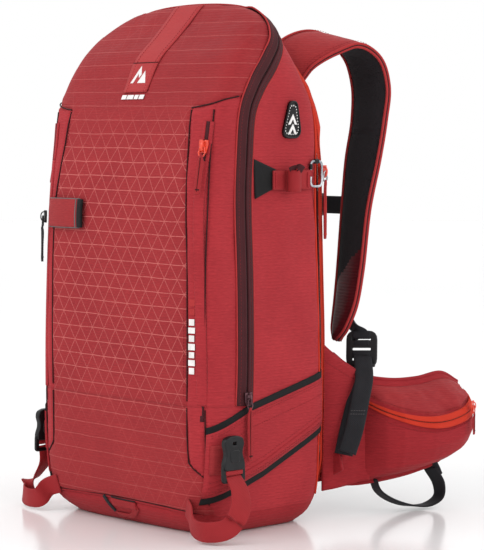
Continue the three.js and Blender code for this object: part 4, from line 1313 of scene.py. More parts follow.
def build_badge():
    """The drop-shaped rubber badge high on the right side, with a sewn edge and two chevrons."""

    def on_badge(u, v):
        return side_frame(BADGE_Y + u, BADGE_Z + v)

    w, top, foot = 14.5, 21, 18
    outer = round_corners([(-w, -foot), (w * 0.98, -foot), (w * 0.5, top), (-w * 0.2, top)], 11, 5)
    rows = []
    for share in np.linspace(0.02, 1, 10):
        rows.append([on_badge(u * share, v * share) for u, v in outer + outer[:1]])
    disc = surface_patch("badge_base", rows, 0.2, 2.6, RUBBER)
    wear(disc, "pack_body", "badge", "reflector_badge")
    rim = [on_badge(u * 0.95, v * 0.95) for u, v in outer + outer[:2]]
    wear(tube("badge_rim", [p + n * 2.8 for p, n in rim], 1.1, RUBBER, 8), "pack_body", "badge")
    inner = [on_badge(u * 0.76, v * 0.76) for u, v in outer + outer[:1]]
    points, normals = [p + n * 2.6 for p, n in inner], [n for _, n in inner]
    dashes = row_of("badge_dashes", points, normals, (1.6, 1.7, 0.35), WHITE_PRINT, 3.0)
    wear(dashes, "pack_body", "badge")
    chevrons = []
    for drop in (1, -9):
        mark = [(-4.4, -3.4), (0.8, 4.6), (5.2, -3.4), (2.8, -3.4), (0.8, 0.8), (-2.0, -3.4)]
        chevrons.append([(1.35 * u, 1.35 * v + drop) for u, v in mark])
    printed("badge_mark", chevrons, on_badge, 3.1, "pack_body")


def build_bands():
    """The tail-stopper band low on each side between two smooth black trims."""

    def low(t):
        return np.interp(t, [0, 0.43, 0.94, 1], [34, 58, 95.5, 99])

    def high(t):
        return np.interp(t, [0, 0.315, 0.94, 1], [114, 135, 160.5, 162.5])

    def y_of(t):
        return -80 + 162 * t

    def band(name, foot, top, lift_low, lift_high, material):
        def z_at(u, v):
            return foot(u) + (top(u) - foot(u)) * v

        rows = side_rows(60, 8, lambda u, v: y_of(u), z_at)
        return surface_patch(name, rows, lift_low, lift_high, material)

    red = band("ski_band_cloth", lambda t: low(t) + 7, lambda t: high(t) - 7, 0.3, 2.6, SIDE_CLOTH)
    upper = band("ski_trim_upper", lambda t: high(t) - 9.2, high, 0.2, 2.0, BLACK_CLOTH)
    lower = band("ski_trim_lower", low, lambda t: low(t) + 9.4, 0.2, 2.0, BLACK_CLOTH)
    wear_pair(red, "ski_band_cloth_left", "pack_body", "shell", "ski_band_{}")
    for trim in (upper, lower):
        wear_pair(trim, trim.name + "_left", "pack_body", "lining")
    ts = np.linspace(0.02, 1, 24)
    seams = ((high, -9.5), (high, -12), (high, -24), (low, 9.5), (low, 12), (low, 22))
    for k, (edge, inset) in enumerate(seams):
        stops = [("side", y_of(t), float(edge(t)) + inset) for t in ts]
        stitch_line(f"band_stitch_{k}", stops, "pack_body", lift=2.7, gap=3.4)
    fold = [("side", y_of(t), float(low(t)) + 17) for t in ts]
    seam_cord("band_fold", fold, "pack_body", 0.9, BELT_CLOTH, 2.4)


def build_boot():
    """The seam round the foot of the bag, and the edge binding at the rear corners."""
    stops = [("front", x, 26 - 3 * (x / 110) ** 2) for x in np.linspace(0, 122, 20)]
    seam_cord("boot_seam", stops, "pack_body", 1.0, BELT_CLOTH, -0.4)
    seam_cord("boot_seam_shadow", [(k, x, z + 1.6) for k, x, z in stops], "pack_body", 0.6, SEAM_SHADOW, -0.8)
    rear = [("side", 74, z) for z in np.linspace(30, 440, 40)]
    seam_cord("rear_corner_piping", rear, "pack_body", 1.1, ORANGE, 0.4)


def build_axe_loop():
    """A webbing vee low on the front, with a black strip of painted shade at its left where the slot opens,
    and a dark rim along its bar.
    """

    def web(name, stops, width, material, lift, thick):
        points, normals = skin_line(stops, 30, lift)
        across = unit_rows(np.cross(np.gradient(points, axis=0), normals))
        rows = [tuple(p) + tuple(a) + (width,) for p, a in zip(points, across)]
        return strap(name, rows[::3] + [rows[-1]], thick, material, 30)

    left = [("front", -27, 27), ("front", -22, 20), ("front", -15, 11)]
    bar = [("front", -14, 22), ("front", 0, 21.4), ("front", 14, 21.2), ("front", 25, 21)]
    right = [("front", 26, 20), ("front", 20, 15), ("front", 10, 9), ("front", -13, 8)]
    main = web("axe_loop_web", bar, 9, RED_WEBBING, 1.6, 1.6)
    wear(main, "pack_body", "shell", "axe_loop")
    # A black strip of painted shade, where the loop's slot opens at the left.
    slot_shade = web("axe_loop_slot_shade", left, 5, BLACK_WEBBING, 1.4, 1.4)
    wear(slot_shade, "pack_body", "webbing")
    lower = web("axe_loop_lower", right, 7, RED_WEBBING, 1.2, 1.4)
    wear(lower, "pack_body", "shell")
    dark = web("axe_loop_rim", [(k, x, z + 5.2) for k, x, z in bar], 1.4, BLACK_WEBBING, 1.7, 1.5)
    wear(dark, "pack_body", "webbing")


def build_axe_flap():
    """The strap for an axe shaft on the left of the front, with grey edges and a fold at its free end."""
    rows = []
    for v in np.linspace(0, 1, 12):
        row = []
        for u in np.linspace(0, 1, 20):
            p, n = front_frame(-114 + 56 * u, 312 + 30 * v)
            bow = 1.2 * math.sin(math.pi * u) + 0.6 * math.sin(math.pi * v)
            row.append((p + n * bow, n))
        rows.append(row)
    cloth = surface_patch("axe_flap_cloth", rows, 1.3, 3.6, STRAP_CLOTH)
    wear(cloth, "axe_holder_flap", "shell", "axe_holder_flap")
    for k in (0, -1):
        edge = [p + n * 2.6 for p, n in rows[k]]
        wear(tube(f"axe_flap_edge_{k % 2}", edge, 1.0, GREY_EDGE, 6), "axe_holder_flap", "shell")
    end = [row[-1] for row in rows]
    fold = [tuple(p + n * 3.4 + [1.0, 0, 0]) + (1, 0, 0, 9) for p, n in end[::2] + [end[-1]]]
    wear(strap("axe_flap_fold", fold, 3.2, BLACK_CLOTH, 24), "axe_holder_flap", "webbing")
    rim = [row[-3][0] + row[-3][1] * 3.4 for row in rows]
    wear(tube("axe_flap_rim", rim, 0.9, GREY_EDGE, 6), "axe_holder_flap", "shell")


# ---------- compression webbing, hooks, loops ----------
WEB_HEIGHT = 364


def build_compression():
    """Webbing across each upper side: the right spare end is rolled up, the left one stands out folded."""
    run = []
    for y in (6, 14, 22, 30, 38, 48, 60):
        p, n = side_frame(y, WEB_HEIGHT)
        run.append(tuple(p + n * 3.4) + (0, 0, 1, 20))
    right = strap("compression_web_right", run, 1.8, RED_WEBBING, 40, wobble=0.5, seed=1)
    left = mirrored(right, "compression_web_left")
    turns = []
    middle_x, middle_y = side_x(28, WEB_HEIGHT) + 12, 28
    for t in np.linspace(0, 2.6 * 2 * math.pi, 70):
        radius = 3.0 + 1.9 * t / (2 * math.pi)
        at = (middle_x + radius * math.cos(t), middle_y + radius * math.sin(t), WEB_HEIGHT - 1)
        turns.append(at + (0, 0, 1, 23))
    roll = strap("webbing_roll", turns, 1.5, RED_WEBBING, 150, corners=2)
    bend = ((20, 20, 14, 374), (26, 26, 19, 377), (32, 33, 20, 374))
    stops = [(side_x(wall, WEB_HEIGHT) + off, y, z, 0.3, 1, 0, 9) for wall, y, off, z in bend]
    tab = strap("roll_tab", stops, 1.4, MAROON, 14)
    wear(right, "pack_body", "shell", "compression_webbing_right")
    wear(roll, "pack_body", "shell")
    wear(tab, "pack_body", "shell")
    wear(left, "pack_body", "shell", "compression_webbing_left")
    spare = [(-139, -6, 364, 0, 0, 1, 20), (-144, -18, 365, 0, 0, 1, 20)]
    spare += [(-151, -34, 366, 0.1, 0, 1, 20), (-158, -52, 368, 0.2, 0, 1, 20)]
    tail = strap("compression_spare", spare, 2.8, RED_WEBBING, 30, wobble=0.6, seed=2)
    wear(tail, "pack_body", "shell")
    for y in (10, 56):
        p, n = side_frame(y, WEB_HEIGHT)
        tack = rounded_box("webbing_tack", (2.4, 1.0, 16), (0, 0, 0), BELT_CLOTH, 0.3)
        place(tack, p + n * 4.6, (0, 0, 1), n)
        wear_pair(tack, "webbing_tack_left", "pack_body", "shell")
    build_hooks()


def build_hooks():
    """Open wire hooks at the rear ends of the compression webbing, silver with a black cap."""
    x = side_x(70, WEB_HEIGHT) + 4.6
    wire = [(62, 367), (62, 360), (64, 357.4), (70, 356.8), (76, 357.6), (78, 361), (78, 370), (78, 379)]
    wire += [(76, 382.4), (70, 383.2), (64, 382.6), (62, 380), (62, 374)]
    smooth = curve_through([(x, y, z) for y, z in wire], 90)
    for sign, side in ((1, "right"), (-1, "left")):
        body = f"compression_hook_{side}"
        wear(tube(f"hook_wire_{side}", smooth * [sign, 1, 1], 1.5, ALUMINIUM, 12), body, "aluminium", body)
        cap = rounded_box(f"hook_cap_{side}", (4.2, 7, 5), (sign * x, 70, 383), PLASTIC, 1.2)
        wear(cap, body, "aluminium")
        gate = rounded_box(f"hook_gate_{side}", (3.6, 3.4, 6), (sign * x, 62, 377.4), PLASTIC, 0.9)
        wear(gate, body, "aluminium")


LOOP_BUCKLE = (154.6, -64, 72)


def build_ski_loops():
    """A red webbing loop at each front corner of the foot; the left one lies nearer to the bag."""
    route = [
        (106, -84, 30, 0.25, -0.1, 1, 21),
        (118, -90, 25, 0.25, -0.1, 1, 21),
        (134, -100, 15, 0.3, -0.2, 1, 21),
        (153, -101, 12.5, 0.1, -0.1, 1, 21),
        (168, -84, 16, -0.2, 0.1, 1, 21),
        (171, -70, 32, 0.4, 1, 0.2, 21),
        (164, -63, 50, 0.1, 1, 0.1, 21),
        (154.6, -64, 66, 0, 1, 0, 21),
    ]
    loop = strap("ski_loop_web_right", route, 1.9, RED_WEBBING, 90, wobble=0.7, seed=4)
    close = []
    for x, y, z, *rest in route:
        nearer = 14 * max(0.0, (y < -90) + 0.6 * (z > 25 and x > 160))
        close.append((x - nearer, y, z, *rest))
    other = strap("ski_loop_source", close, 1.9, RED_WEBBING, 90, wobble=0.7, seed=4)
    other = mirrored(other, "ski_loop_web_left")
    bpy.data.objects.remove(bpy.data.objects["ski_loop_source"])
    for piece, side in ((loop, "right"), (other, "left")):
        wear(piece, "pack_body", "shell", f"ski_loop_{side}")
    build_loop_buckle()


def build_loop_buckle():
    """A waisted side-release buckle with a ladder frame below it, through which the loop passes."""
    edge = [(5, 33.4), (11, 31), (12, 26), (9.6, 19), (9.8, 14), (12.6, 7), (12.6, 1)]
    outline = edge + [(-u, v) for u, v in edge[::-1]]
    notch = round_corners(box_outline(7, 5.4, 0, 27), 1.4)
    body = plate("loop_buckle_right_look", round_corners(outline, 2.4), 7, PLASTIC, [notch], 1.3)
    boss = plate("loop_buckle_boss", round_corners(box_outline(11, 11, 0, 14), 2.5), 8.4, PLASTIC, (), 1.2)
    frame_outline = round_corners(box_outline(29, 17, 0, -3.5), 3)
    hole = round_corners(box_outline(22.5, 5, 0, -6.6), 1)
    upper = round_corners(box_outline(22.5, 4, 0, 0.8), 1)
    ladder = plate("loop_buckle_frame", frame_outline, 3.4, PLASTIC, [hole, upper], 0.9)
    bar = rounded_box("loop_buckle_bar", (23, 4.6, 4.8), (0, 0.4, -2.6), RED_WEBBING, 1.2)
    right = join("loop_buckle_right_look", [body, boss, ladder, bar])
    place(right, LOOP_BUCKLE, (-0.02, 0, 1), (1, 0, 0))
    wear_pair(right, "loop_buckle_left_look", "pack_body", "plastic", "loop_buckle_{}")
    rows = side_rows(8, 10, lambda u, v: -77 + 26 * u, lambda u, v: 66 + 30 * v)
    base = surface_patch("buckle_patch", rows, 2.4, 3.8, STRAP_CLOTH)
    wear_pair(base, "buckle_patch_left", "pack_body", "shell")


# ---------- back panel ----------
def arch_half(z, inset=0.0):
    return max(0.0, float(between(BACK_HALF, z)) - inset)


def arch_points(inset, bottom, y, count=120):
    heights = [bottom, 60, 90, 120, 160, 200, 260, 320, 385, 405, 420, 440, 450, 462, 475, 485, 494, 501]
    side = [(arch_half(z, inset), y, z) for z in heights]
    crown = [(40 - inset / 3, y, 507 - inset), (14, y, 511.5 - inset), (0, y, 512 - inset)]
    right = side + crown
    full = np.array(right + [(-x, yy, z) for x, yy, z in right[-2::-1]])
    return curve_through(full, count)


def build_back_panel():
    outline = arch_points(2.5, 32, 0, 90)
    rings = []
    centre = np.array([0, 0, 250])
    for share, lift in ((1.0, 0.0), (1.0, 1.2), (0.985, 3.2), (0.94, 4.2)):
        rings.append([centre + (p - centre) * [share, 1, share] + [0, 89.2 + lift, 0] for p in outline])
    sheet = ring_mesh("back_sheet", rings, SIDE_CLOTH)
    wear(sheet, "back_panel", "shell", "back_panel")
    for sign, side in ((1, "right"), (-1, "left")):
        gusset = [(105, 92, 53, 34), (112, 99.5, 54, 33), (128, 102, 58, 26), (145, 102, 62, 18)]
        rows = [(sign * x, y, z, 0, 0, 1, width) for x, y, z, width in gusset]
        wear(strap(f"anchor_gusset_{side}", rows, 3.0, BELT_CLOTH, 30), "back_panel", "shell")
    build_back_zip()
    build_back_pad()
    hold = [(-30, 104, 494, 0, 1, 0.3, 14), (-29, 104, 512, 0, 1, 0.2, 14)]
    hold += [(-19, 104, 524, 0, 1, 0, 14), (0, 104, 528, 0, 1, 0, 14)]
    full = hold + [(-x, y, z, a, b, c, w) for x, y, z, a, b, c, w in hold[-2::-1]]
    handle = strap("haul_loop_look", full, 2.6, RED_WEBBING, 60)
    wear(handle, "back_panel", "shell", "haul_loop")


def build_back_zip():
    """The orange zip that runs round the back panel."""
    line = arch_points(0, 40, 91, 260)
    along = unit_rows(np.gradient(line, axis=0))
    out = np.cross(along, [0, 1, 0])
    out *= np.sign(np.sum(out * (line - [0, 91, 200]), axis=1))[:, None]
    across = np.tile([0, 1, 0], (len(line), 1)).astype(float)
    path = (line, out, across)
    profile = [(-7.6, 0.4), (-7, 1.8), (-1.2, 2.6), (-0.6, 2.2), (0.6, 2.2), (1.2, 2.6)]
    profile += [(5.6, 2.2), (5.6, 0.9)]
    wide = 0.4 + 0.6 * np.clip((line[:, 2] - 388) / 30, 0, 1) ** 2
    band = tape_strip("back_zip_band", path, profile, ORANGE, wide)
    wear(band, "back_panel", "orange", "back_zip_tape")
    teeth = row_of("back_zip_teeth", line + out * 2.1, out, (1.2, 1.7, 0.9), ORANGE_TEETH, 2.0)
    wear(teeth, "back_panel", "orange")
    shadow = tube("back_zip_shadow", line + across * -5.2 + out * 1.2, 0.8, SEAM_SHADOW, 6)
    wear(shadow, "back_panel", "shell")
    at, out_dir = (125.8, 91, 372), (1, 0.15, 0)
    slider("back_zip", at, (0, 0, 1), out_dir, "back_zip_slider", "zippaint", "back_zip_slider", PAINT)
    pivot = outward_by(at, out_dir, PIVOT_HEIGHT)
    colours = (ALUMINIUM, RED_WEBBING, ORANGE)
    pull("back_pull", pivot, out_dir, "back_zip_pull", "shell", "back_zip_pull", colours, 60, width=4.8)


def build_back_pad():
    """The black moulded pad with cushion ridges and scalloped edges."""
    side = [(62, 78), (74, 92), (90, 96), (140, 98), (200, 98), (250, 97), (300, 96), (340, 98)]
    side += [(380, 101), (420, 103), (436, 100), (444, 92), (450, 74), (453, 52), (456, 24)]
    rows, columns = 90, 44
    foot, top, pitch = 62, 455, 24
    heights = np.linspace(foot, top, rows)
    verts = []
    for z in heights:
        wave = math.cos(2 * math.pi * z / pitch)
        ridge = 0.5 + 0.5 * wave
        half = float(between(side, z))
        if z > 80:
            half -= 2.2 * (0.5 - 0.5 * wave)
        for u in np.linspace(-1, 1, columns):
            cushion = 1 - abs(u) ** 14
            channel = math.exp(-((u * half / 9) ** 2))
            lift = 8 + 7.4 * cushion * (0.55 + 0.45 * ridge) - 6 * channel * cushion
            fade = min(1.0, (z - foot) / 8, (top - z) / 8)
            lift = 1 + (lift - 1) * max(0.0, fade) ** 0.5
            verts.append((u * half, 93.6 + lift, z))
    base = [(x, 93.4, z) for x, _, z in verts]
    faces = shell_faces(rows, columns)
    pad = outward(mesh_object("back_pad_look", np.array(verts + base) * MM, faces, [BLACK_MESH]))
    wear(pad, "back_panel", "lining", "back_pad")


# ---------- shoulder straps ----------
STRAP_ROUTE = [
    (54, 104, 483, 0.85, 0, -0.52, 60),
    (63, 117, 500, 0.84, -0.1, -0.53, 60),
    (74, 141, 511, 0.88, -0.12, -0.4, 60),
    (84, 168, 510, 0.96, -0.1, -0.16, 60),
    (92, 188, 493, 0.98, -0.08, -0.08, 60),
    (96, 196, 464, 0.99, -0.1, -0.06, 60),
    (97.5, 192, 428, 0.98, -0.15, 0, 59),
    (98, 182, 385, 0.98, -0.15, 0, 58),
    (99, 170, 330, 0.96, -0.26, 0, 55),
    (104, 156, 262, 0.95, -0.3, 0, 53),
    (105, 148, 226, 0.95, -0.3, 0, 46),
    (104, 141, 203, 0.95, -0.3, 0, 32),
    (103, 136, 188, 0.95, -0.3, 0, 18),
]


def strap_frames(count):
    run = curve_through(STRAP_ROUTE, count)
    return run, *frames_along(run[:, :3], run[:, 3:6])


def build_shoulder_straps():
    """Padded straps with a ribbed red outer face and a black mesh inner face."""
    count = 130
    run, side, face = strap_frames(count)
    length = lengths_along(run[:, :3])
    total = length[-1]
    shapes = {"outer": [], "inner": []}
    edges = {1: [], -1: []}
    second = {1: [], -1: []}
    for i in range(count):
        w = run[i, 6] / 2
        left = total - length[i]
        if left < 16:
            w *= math.sqrt(max(0.05, 1 - (1 - left / 16) ** 2))
        wrinkle = 1.4 * noise.noise(Vector((length[i] * 0.2, 3.0, 0))) if 50 < length[i] < 200 else 0.2
        for sign, key in ((-1, "outer"), (1, "inner")):
            ring = []
            for u in np.linspace(-1, 1, 17):
                crown = 1 - abs(u) ** 3
                groove_near_edge = -0.9 * math.exp(-(((abs(u) * w - (w - 5)) / 1.2) ** 2))
                lift = 1.2 + (5.4 if key == "outer" else 4.6) * crown + groove_near_edge
                if key == "inner":
                    lift += 1.5 * wrinkle * crown
                else:
                    lift += 0.5 * noise.noise(Vector((length[i] * 0.03, u * 1.5, 7)))
                ring.append(run[i, :3] + side[i] * u * (w - 0.6) + face[i] * sign * lift)
            shapes[key].append(ring)
        for sign in (1, -1):
            edges[sign].append(run[i, :3] + side[i] * sign * w * 0.985)
            second[sign].append(run[i, :3] + side[i] * sign * (w - 5) - face[i] * 5.0)
    for key, material in (("outer", STRAP_CLOTH), ("inner", BLACK_MESH)):
        rings = shapes[key]
        n = len(rings[0])
        verts = [p for ring in rings for p in ring]
        base = []
        for i in range(count):
            reach = run[i, 6] / 2 if total - length[i] > 16 else 8
            base += [run[i, :3] + side[i] * u * reach * 0.9 for u in np.linspace(-1, 1, n)]
        faces = shell_faces(count, n)
        zones = [0] * len(faces)
        for index in range((count - 1) * (n - 1)):
            row, column = divmod(index, n - 1)
            zones[index] = int(key == "inner" and total - length[row] < 84 + 22 * (column / 8 - 1))
        cloths = [material, REINFORCEMENT]
        points = np.array(verts + base) * MM
        right = outward(mesh_object(f"strap_{key}_right", points, faces, cloths, zones=zones))
        finish = ("shell", "shoulder_strap_{}") if key == "outer" else ("lining",)
        for piece in wear_pair(right, f"strap_{key}_left", "back_panel", *finish):
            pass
    build_strap_trims(edges, second, face)


def build_strap_trims(edges, stitched, face):
    """Three cords round the edge of each strap and a row of stitches inside it."""
    for sign, letter in ((1, "a"), (-1, "b")):
        cords = ((2.0, 1.5, RED_EDGE), (0, 1.2, MAROON), (-2.0, 1.6, RED_EDGE))
        for k, (lift, radius, material) in enumerate(cords):
            points = np.array(edges[sign]) + face * lift
            right = tube(f"strap_piping_{k}_{letter}", points, radius, material, 7)
            wear_pair(right, right.name + "_left", "back_panel", "shell")
        points, normals = np.array(stitched[sign])[4:-6], -face[4:-6]
        right = row_of(f"strap_stitch_{letter}", points, normals, (2.3, 0.6, 0.4), STITCH, 3.4)
        wear_pair(right, right.name + "_left", "back_panel", "shell")


def build_ladder_locks():
    """Ladder locks under the strap tips, each with its webbing wrapped over the middle bar."""
    outline = round_corners(box_outline(32, 38), 9)
    holes = [round_corners(box_outline(23, 5, 0, z), 2.4) for z in (-11, 0, 11)]
    lock = plate("ladder_lock_right_look", outline, 4.6, PLASTIC, holes, 1.2)
    lip = rounded_box("ladder_lip", (30, 6.4, 3.6), (0, 0.6, -17.6), PLASTIC, 1.4)
    wrap = rounded_box("ladder_wrap", (20.4, 7.6, 8.4), (0, 0, -5.5), BLACK_WEBBING, 2.2)
    top_wrap = rounded_box("ladder_top_wrap", (21, 7.0, 9.0), (0, 0, 15.5), BLACK_WEBBING, 2.2)
    middle_wrap = rounded_box("ladder_middle_wrap", (19, 6.6, 7), (0, -0.4, 6.5), BLACK_WEBBING, 2.2)
    right = join("ladder_lock_right_look", [lock, lip, wrap, middle_wrap, top_wrap])
    place(right, (129, 149, 179), (-0.1, 0.12, 1), (0.5, -0.86, 0))
    stops = [(113, 146.5, 208, 0.95, -0.3, 0, 24), (120, 148, 200, 0.95, -0.3, 0, 22)]
    stops += [(127, 149.6, 192, 0.86, 0.5, 0, 20)]
    tip = strap("strap_tip_right", stops, 2.4, BLACK_WEBBING, 16)
    facing = (0.72, 0.68, 0, 20)
    rising = [(146, 104, 70), (146, 112, 96), (144, 127, 132), (140, 139, 158), (133, 147, 172)]
    stops = [p + facing for p in rising]
    web = strap("adjuster_rising_right", stops, 1.9, BLACK_WEBBING, 60, wobble=0.4, seed=5)
    hanging = [(134, 145, 171), (143, 138, 158), (150, 131, 149), (155, 120, 128)]
    stops = [p + facing for p in hanging + [(158, 108, 98), (157, 98, 74)]]
    tail = strap("adjuster_tail_right", stops, 3.4, BLACK_WEBBING, 70, wobble=0.8, seed=6)
    for k, z in enumerate((113.5, 117.0)):
        normal = np.array([0.68, -0.72, 0.2])
        middle = np.array([158 - (z - 98) * 3 / 30, 108 + (z - 98) * 12 / 30, z]) + normal * 1.9
        line = [middle + np.array([0.72, 0.68, 0]) * s for s in (-8, -4, 0, 4, 8)]
        mark = row_of(f"tail_stitch_{k}", line, [normal] * 5, (1.6, 0.7, 0.4), GREY_EDGE, 2.4)
        wear_pair(mark, f"tail_stitch_{k}_left", "back_panel", "webbing")
    locks = wear_pair(right, "ladder_lock_left_look", "back_panel", "plastic", "ladder_lock_{}")
    wear_pair(tip, "strap_tip_left", "back_panel", "webbing")
    wear_pair(web, "adjuster_rising_left", "back_panel", "webbing", "adjuster_webbing_{}")
    tails = wear_pair(tail, "adjuster_tail_left", "back_panel", "webbing")


def build_sternum():
    """The sternum strap: webbing from each shoulder strap and a side-release buckle in the middle."""
    z = 333
    for sign, side in ((1, "right"), (-1, "left")):
        stops = [(sign * x, y, z, 0, 0, 1, 20) for x, y in ((80, 187), (66, 191), (46, 194), (26, 196))]
        web = strap(f"sternum_web_{side}", stops, 1.9, BLACK_WEBBING, 40)
        wear(web, f"sternum_{side}", "webbing", f"sternum_webbing_{side}")
    shell = round_corners([(-11, -12.5), (23, -11), (23, 11), (-11, 12.5)], 4)
    slot_hole = round_corners(box_outline(5, 18, 18, 0), 1)
    female = plate("sternum_female_look", shell, 9, PLASTIC, [slot_hole], 1.6)
    female.data.transform(Matrix.Translation(Vector((0, 196, z)) * MM))
    wear(female, "sternum_right", "plastic", "sternum_buckle_female")
    outline = round_corners(box_outline(12, 24, -18.2, 0), 2.4)
    slot_hole = round_corners(box_outline(4, 17, -20, 0), 1)
    male = plate("sternum_male_look", outline, 8, PLASTIC, [slot_hole], 1.4)
    prongs = [rounded_box("sternum_prong", (20, 3.6, 4), (-2.8, 0, h), PLASTIC, 1.0) for h in (6, -6)]
    male = join("sternum_male_look", [male, *prongs])
    male.data.transform(Matrix.Translation(Vector((0, 196, z)) * MM))
    wear(male, "sternum_left", "plastic", "sternum_buckle_male")


# ---------- airbag ----------
def build_airbag():
    """The airbag folded in its cover, the gas cylinder with its valve head, and the release handle."""
    outline = [(88, 335), (88, 420), (74, 452), (50, 468), (-50, 468), (-74, 452), (-88, 420), (-88, 335)]
    cover = plate("airbag_look", round_corners(outline, 9), 37, AIRBAG_CLOTH, (), 6)
    cover.data.transform(Matrix.Translation(Vector((0, 62.5, 0)) * MM))
    folds = []
    for z in (352, 372, 392, 412, 432):
        reach = 80 if z < 425 else 66
        xs = np.linspace(-reach, reach, 30)
        line = np.stack([xs, 43.6 + 0.5 * np.sin(xs * 0.1), z + 1.5 * np.sin(xs * 0.06)], 1)
        folds.append(tube("airbag_fold", line, 1.5, ORANGE, 6))
    cover = join("airbag_look", [cover, *folds])
    wear(cover, "pack_body", "orange", "airbag_module")
    x, y, z = -60, 58, 180

    def circle(r, h, angles):
        return [(x + r * math.cos(a), y + r * math.sin(a), z + h) for a in angles]

    profile = [(0, -80), (14, -79), (18.6, -76), (21, -70), (21, 52), (20, 56.5), (15, 62)]
    profile += [(9, 66), (9, 74), (0, 74)]
    sides = 48
    angles = np.linspace(0, 2 * math.pi, sides, endpoint=False)
    verts = [point for r, h in profile for point in circle(r, h, angles)]
    faces = grid_faces(len(profile), sides, closed=True)
    cylinder = outward(mesh_object("cylinder_look", np.array(verts) * MM, faces, [CYLINDER_STEEL]))
    label = tube("cylinder_band", circle(21.1, 42, np.linspace(0, 2 * math.pi, 49)), 0.7, PAINT, 6)
    wear(cylinder, "gas_cylinder", "aluminium", "gas_cylinder")
    wear(label, "gas_cylinder", "aluminium")
    grip = rounded_box("handle_look", (26, 12, 64), (0, 0, 0), PAINT, 4.6, 5)
    neck = rounded_box("handle_neck", (14, 9, 22), (0, -1, 43), PAINT, 3, 4)
    ribs = [rounded_box("handle_rib", (22, 2.2, 3), (0, 6, z), PAINT, 0.9) for z in (-20, -11, -2, 7, 16)]
    handle = join("handle_look", [grip, neck, *ribs])
    place(handle, (-99, 200.5, 378), (0, 0.24, 1), (-0.2, 1, -0.24))
    wear(handle, "trigger_handle", "handle", "trigger_handle")


# ---------- hip belt ----------
# Place along the wing, then x, y and the lower and upper height there.
WING_ROUTE = np.array(
    [
        [0, 117, 116, 34, 176],
        [1, 131, 140, 33, 154],
        [2, 146, 172, 37, 146],
        [3, 156, 206, 43, 146],
        [4, 161, 240, 53, 150],
        [5, 159, 270, 76, 138],
    ]
)
WING_HALF = 5.5
POCKET_DEPTH = 34
# How full the pocket is along the wing, and up it.
POCKET_SWELL = [(1.1, 0.02), (1.35, 0.26), (1.7, 0.6), (2.1, 0.86), (3, 1.0), (4, 0.95)]
POCKET_SWELL += [(4.5, 0.8), (4.8, 0.5), (4.95, 0.12)]
POCKET_PROFILE = [(0.04, 0), (0.08, 0.42), (0.15, 0.78), (0.3, 1), (0.45, 1.02), (0.62, 0.96)]
POCKET_PROFILE += [(0.76, 0.72), (0.88, 0.34), (0.93, 0)]


def wing_at(place_):
    """Plan position, outward direction and heights of the wing's middle line."""
    x, y, low, high = smooth_row(WING_ROUTE, place_)
    a, b = smooth_row(WING_ROUTE, max(place_ - 0.05, 0)), smooth_row(WING_ROUTE, min(place_ + 0.05, 5))
    along = np.array([b[0] - a[0], b[1] - a[1]])
    along /= np.linalg.norm(along)
    return np.array([x, y, 0]), np.array([along[1], -along[0], 0]), low, high


def zip_height(place_):
    """The pocket zip sags in a smile between its ends."""
    return 101 + 22 * abs((place_ - 3.05) / 1.85) ** 1.9


def pocket_lift(place_, z, low, high):
    v = (z - low) / (high - low)
    return WING_HALF + 0.4 + POCKET_DEPTH * between(POCKET_SWELL, place_) * between(POCKET_PROFILE, v)


def pocket_point(place_, z, extra=0.0):
    middle, out, low, high = wing_at(place_)
    return middle + out * (pocket_lift(place_, z, low, high) + extra) + [0, 0, z], out


def soft_pocket_lift(place_, z):
    """The pocket's surface with its wrinkled upper tier and the step under its zip."""
    lift = 0.0
    line = zip_height(place_)
    above = z - line
    if above > 7:
        p = Vector((place_ * 1.8 + z * 0.03, z * 0.05 - place_ * 0.5, 1.0))
        lift += 3.2 * noise.noise(p) + 1.3 * noise.noise(p * 2.3)
    else:
        lift += 0.5 * noise.noise(Vector((place_, z * 0.03, 4.0)))
    lift -= 1.7 * math.exp(-(((above - 8) / 2.2) ** 2))
    lift -= 1.2 * math.exp(-(((above + 8) / 1.8) ** 2))
    return lift


def build_hip_belt():
    """The padded wings, mesh inside and cloth outside, with bound edges."""
    places, vs = np.linspace(0, 5, 64), np.linspace(0, 1, 20)
    rings = []
    for p in places:
        middle, out, low, high = wing_at(p)
        tip = min(1.0, (5 - p) / 0.12 + 0.35)
        ring = []
        for sign, order in ((1, vs), (-1, vs[::-1])):
            for v in order:
                edge = (1 - abs(2 * v - 1) ** 7) ** 0.5
                d = sign * (0.8 + (WING_HALF - 0.8) * edge * tip)
                d += 0.5 * sign * noise.noise(Vector((p * 2, v * 3, 5))) * edge
                ring.append(middle + out * d + [0, 0, low + (high - low) * v])
        rings.append(ring)
    n = len(rings[0])
    zones = [1 if 20 <= k % n < 39 else 0 for k in range((len(rings) - 1) * n)] + [0, 0]
    verts = np.array(rings).reshape(-1, 3) * MM
    cloths = [BELT_CLOTH, BLACK_MESH]
    right = outward(mesh_object("wing_right", verts, capped_faces(len(rings), n), cloths, zones=zones))
    for piece in wear_pair(right, "wing_left", "hip_{}", "shell", "hip_wing_{}"):
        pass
    for name in ("top", "foot"):
        line = []
        for p in places:
            middle, _, low, high = wing_at(p)
            line.append(middle + [0, 0, high - 0.6 if name == "top" else low + 0.6])
        bind = tube(f"wing_binding_{name}", line, 2.3, BELT_CLOTH, 10)
        wear_pair(bind, f"wing_binding_{name}_left", "hip_{}", "shell")
    build_hip_pocket()
    build_belt_webbing()


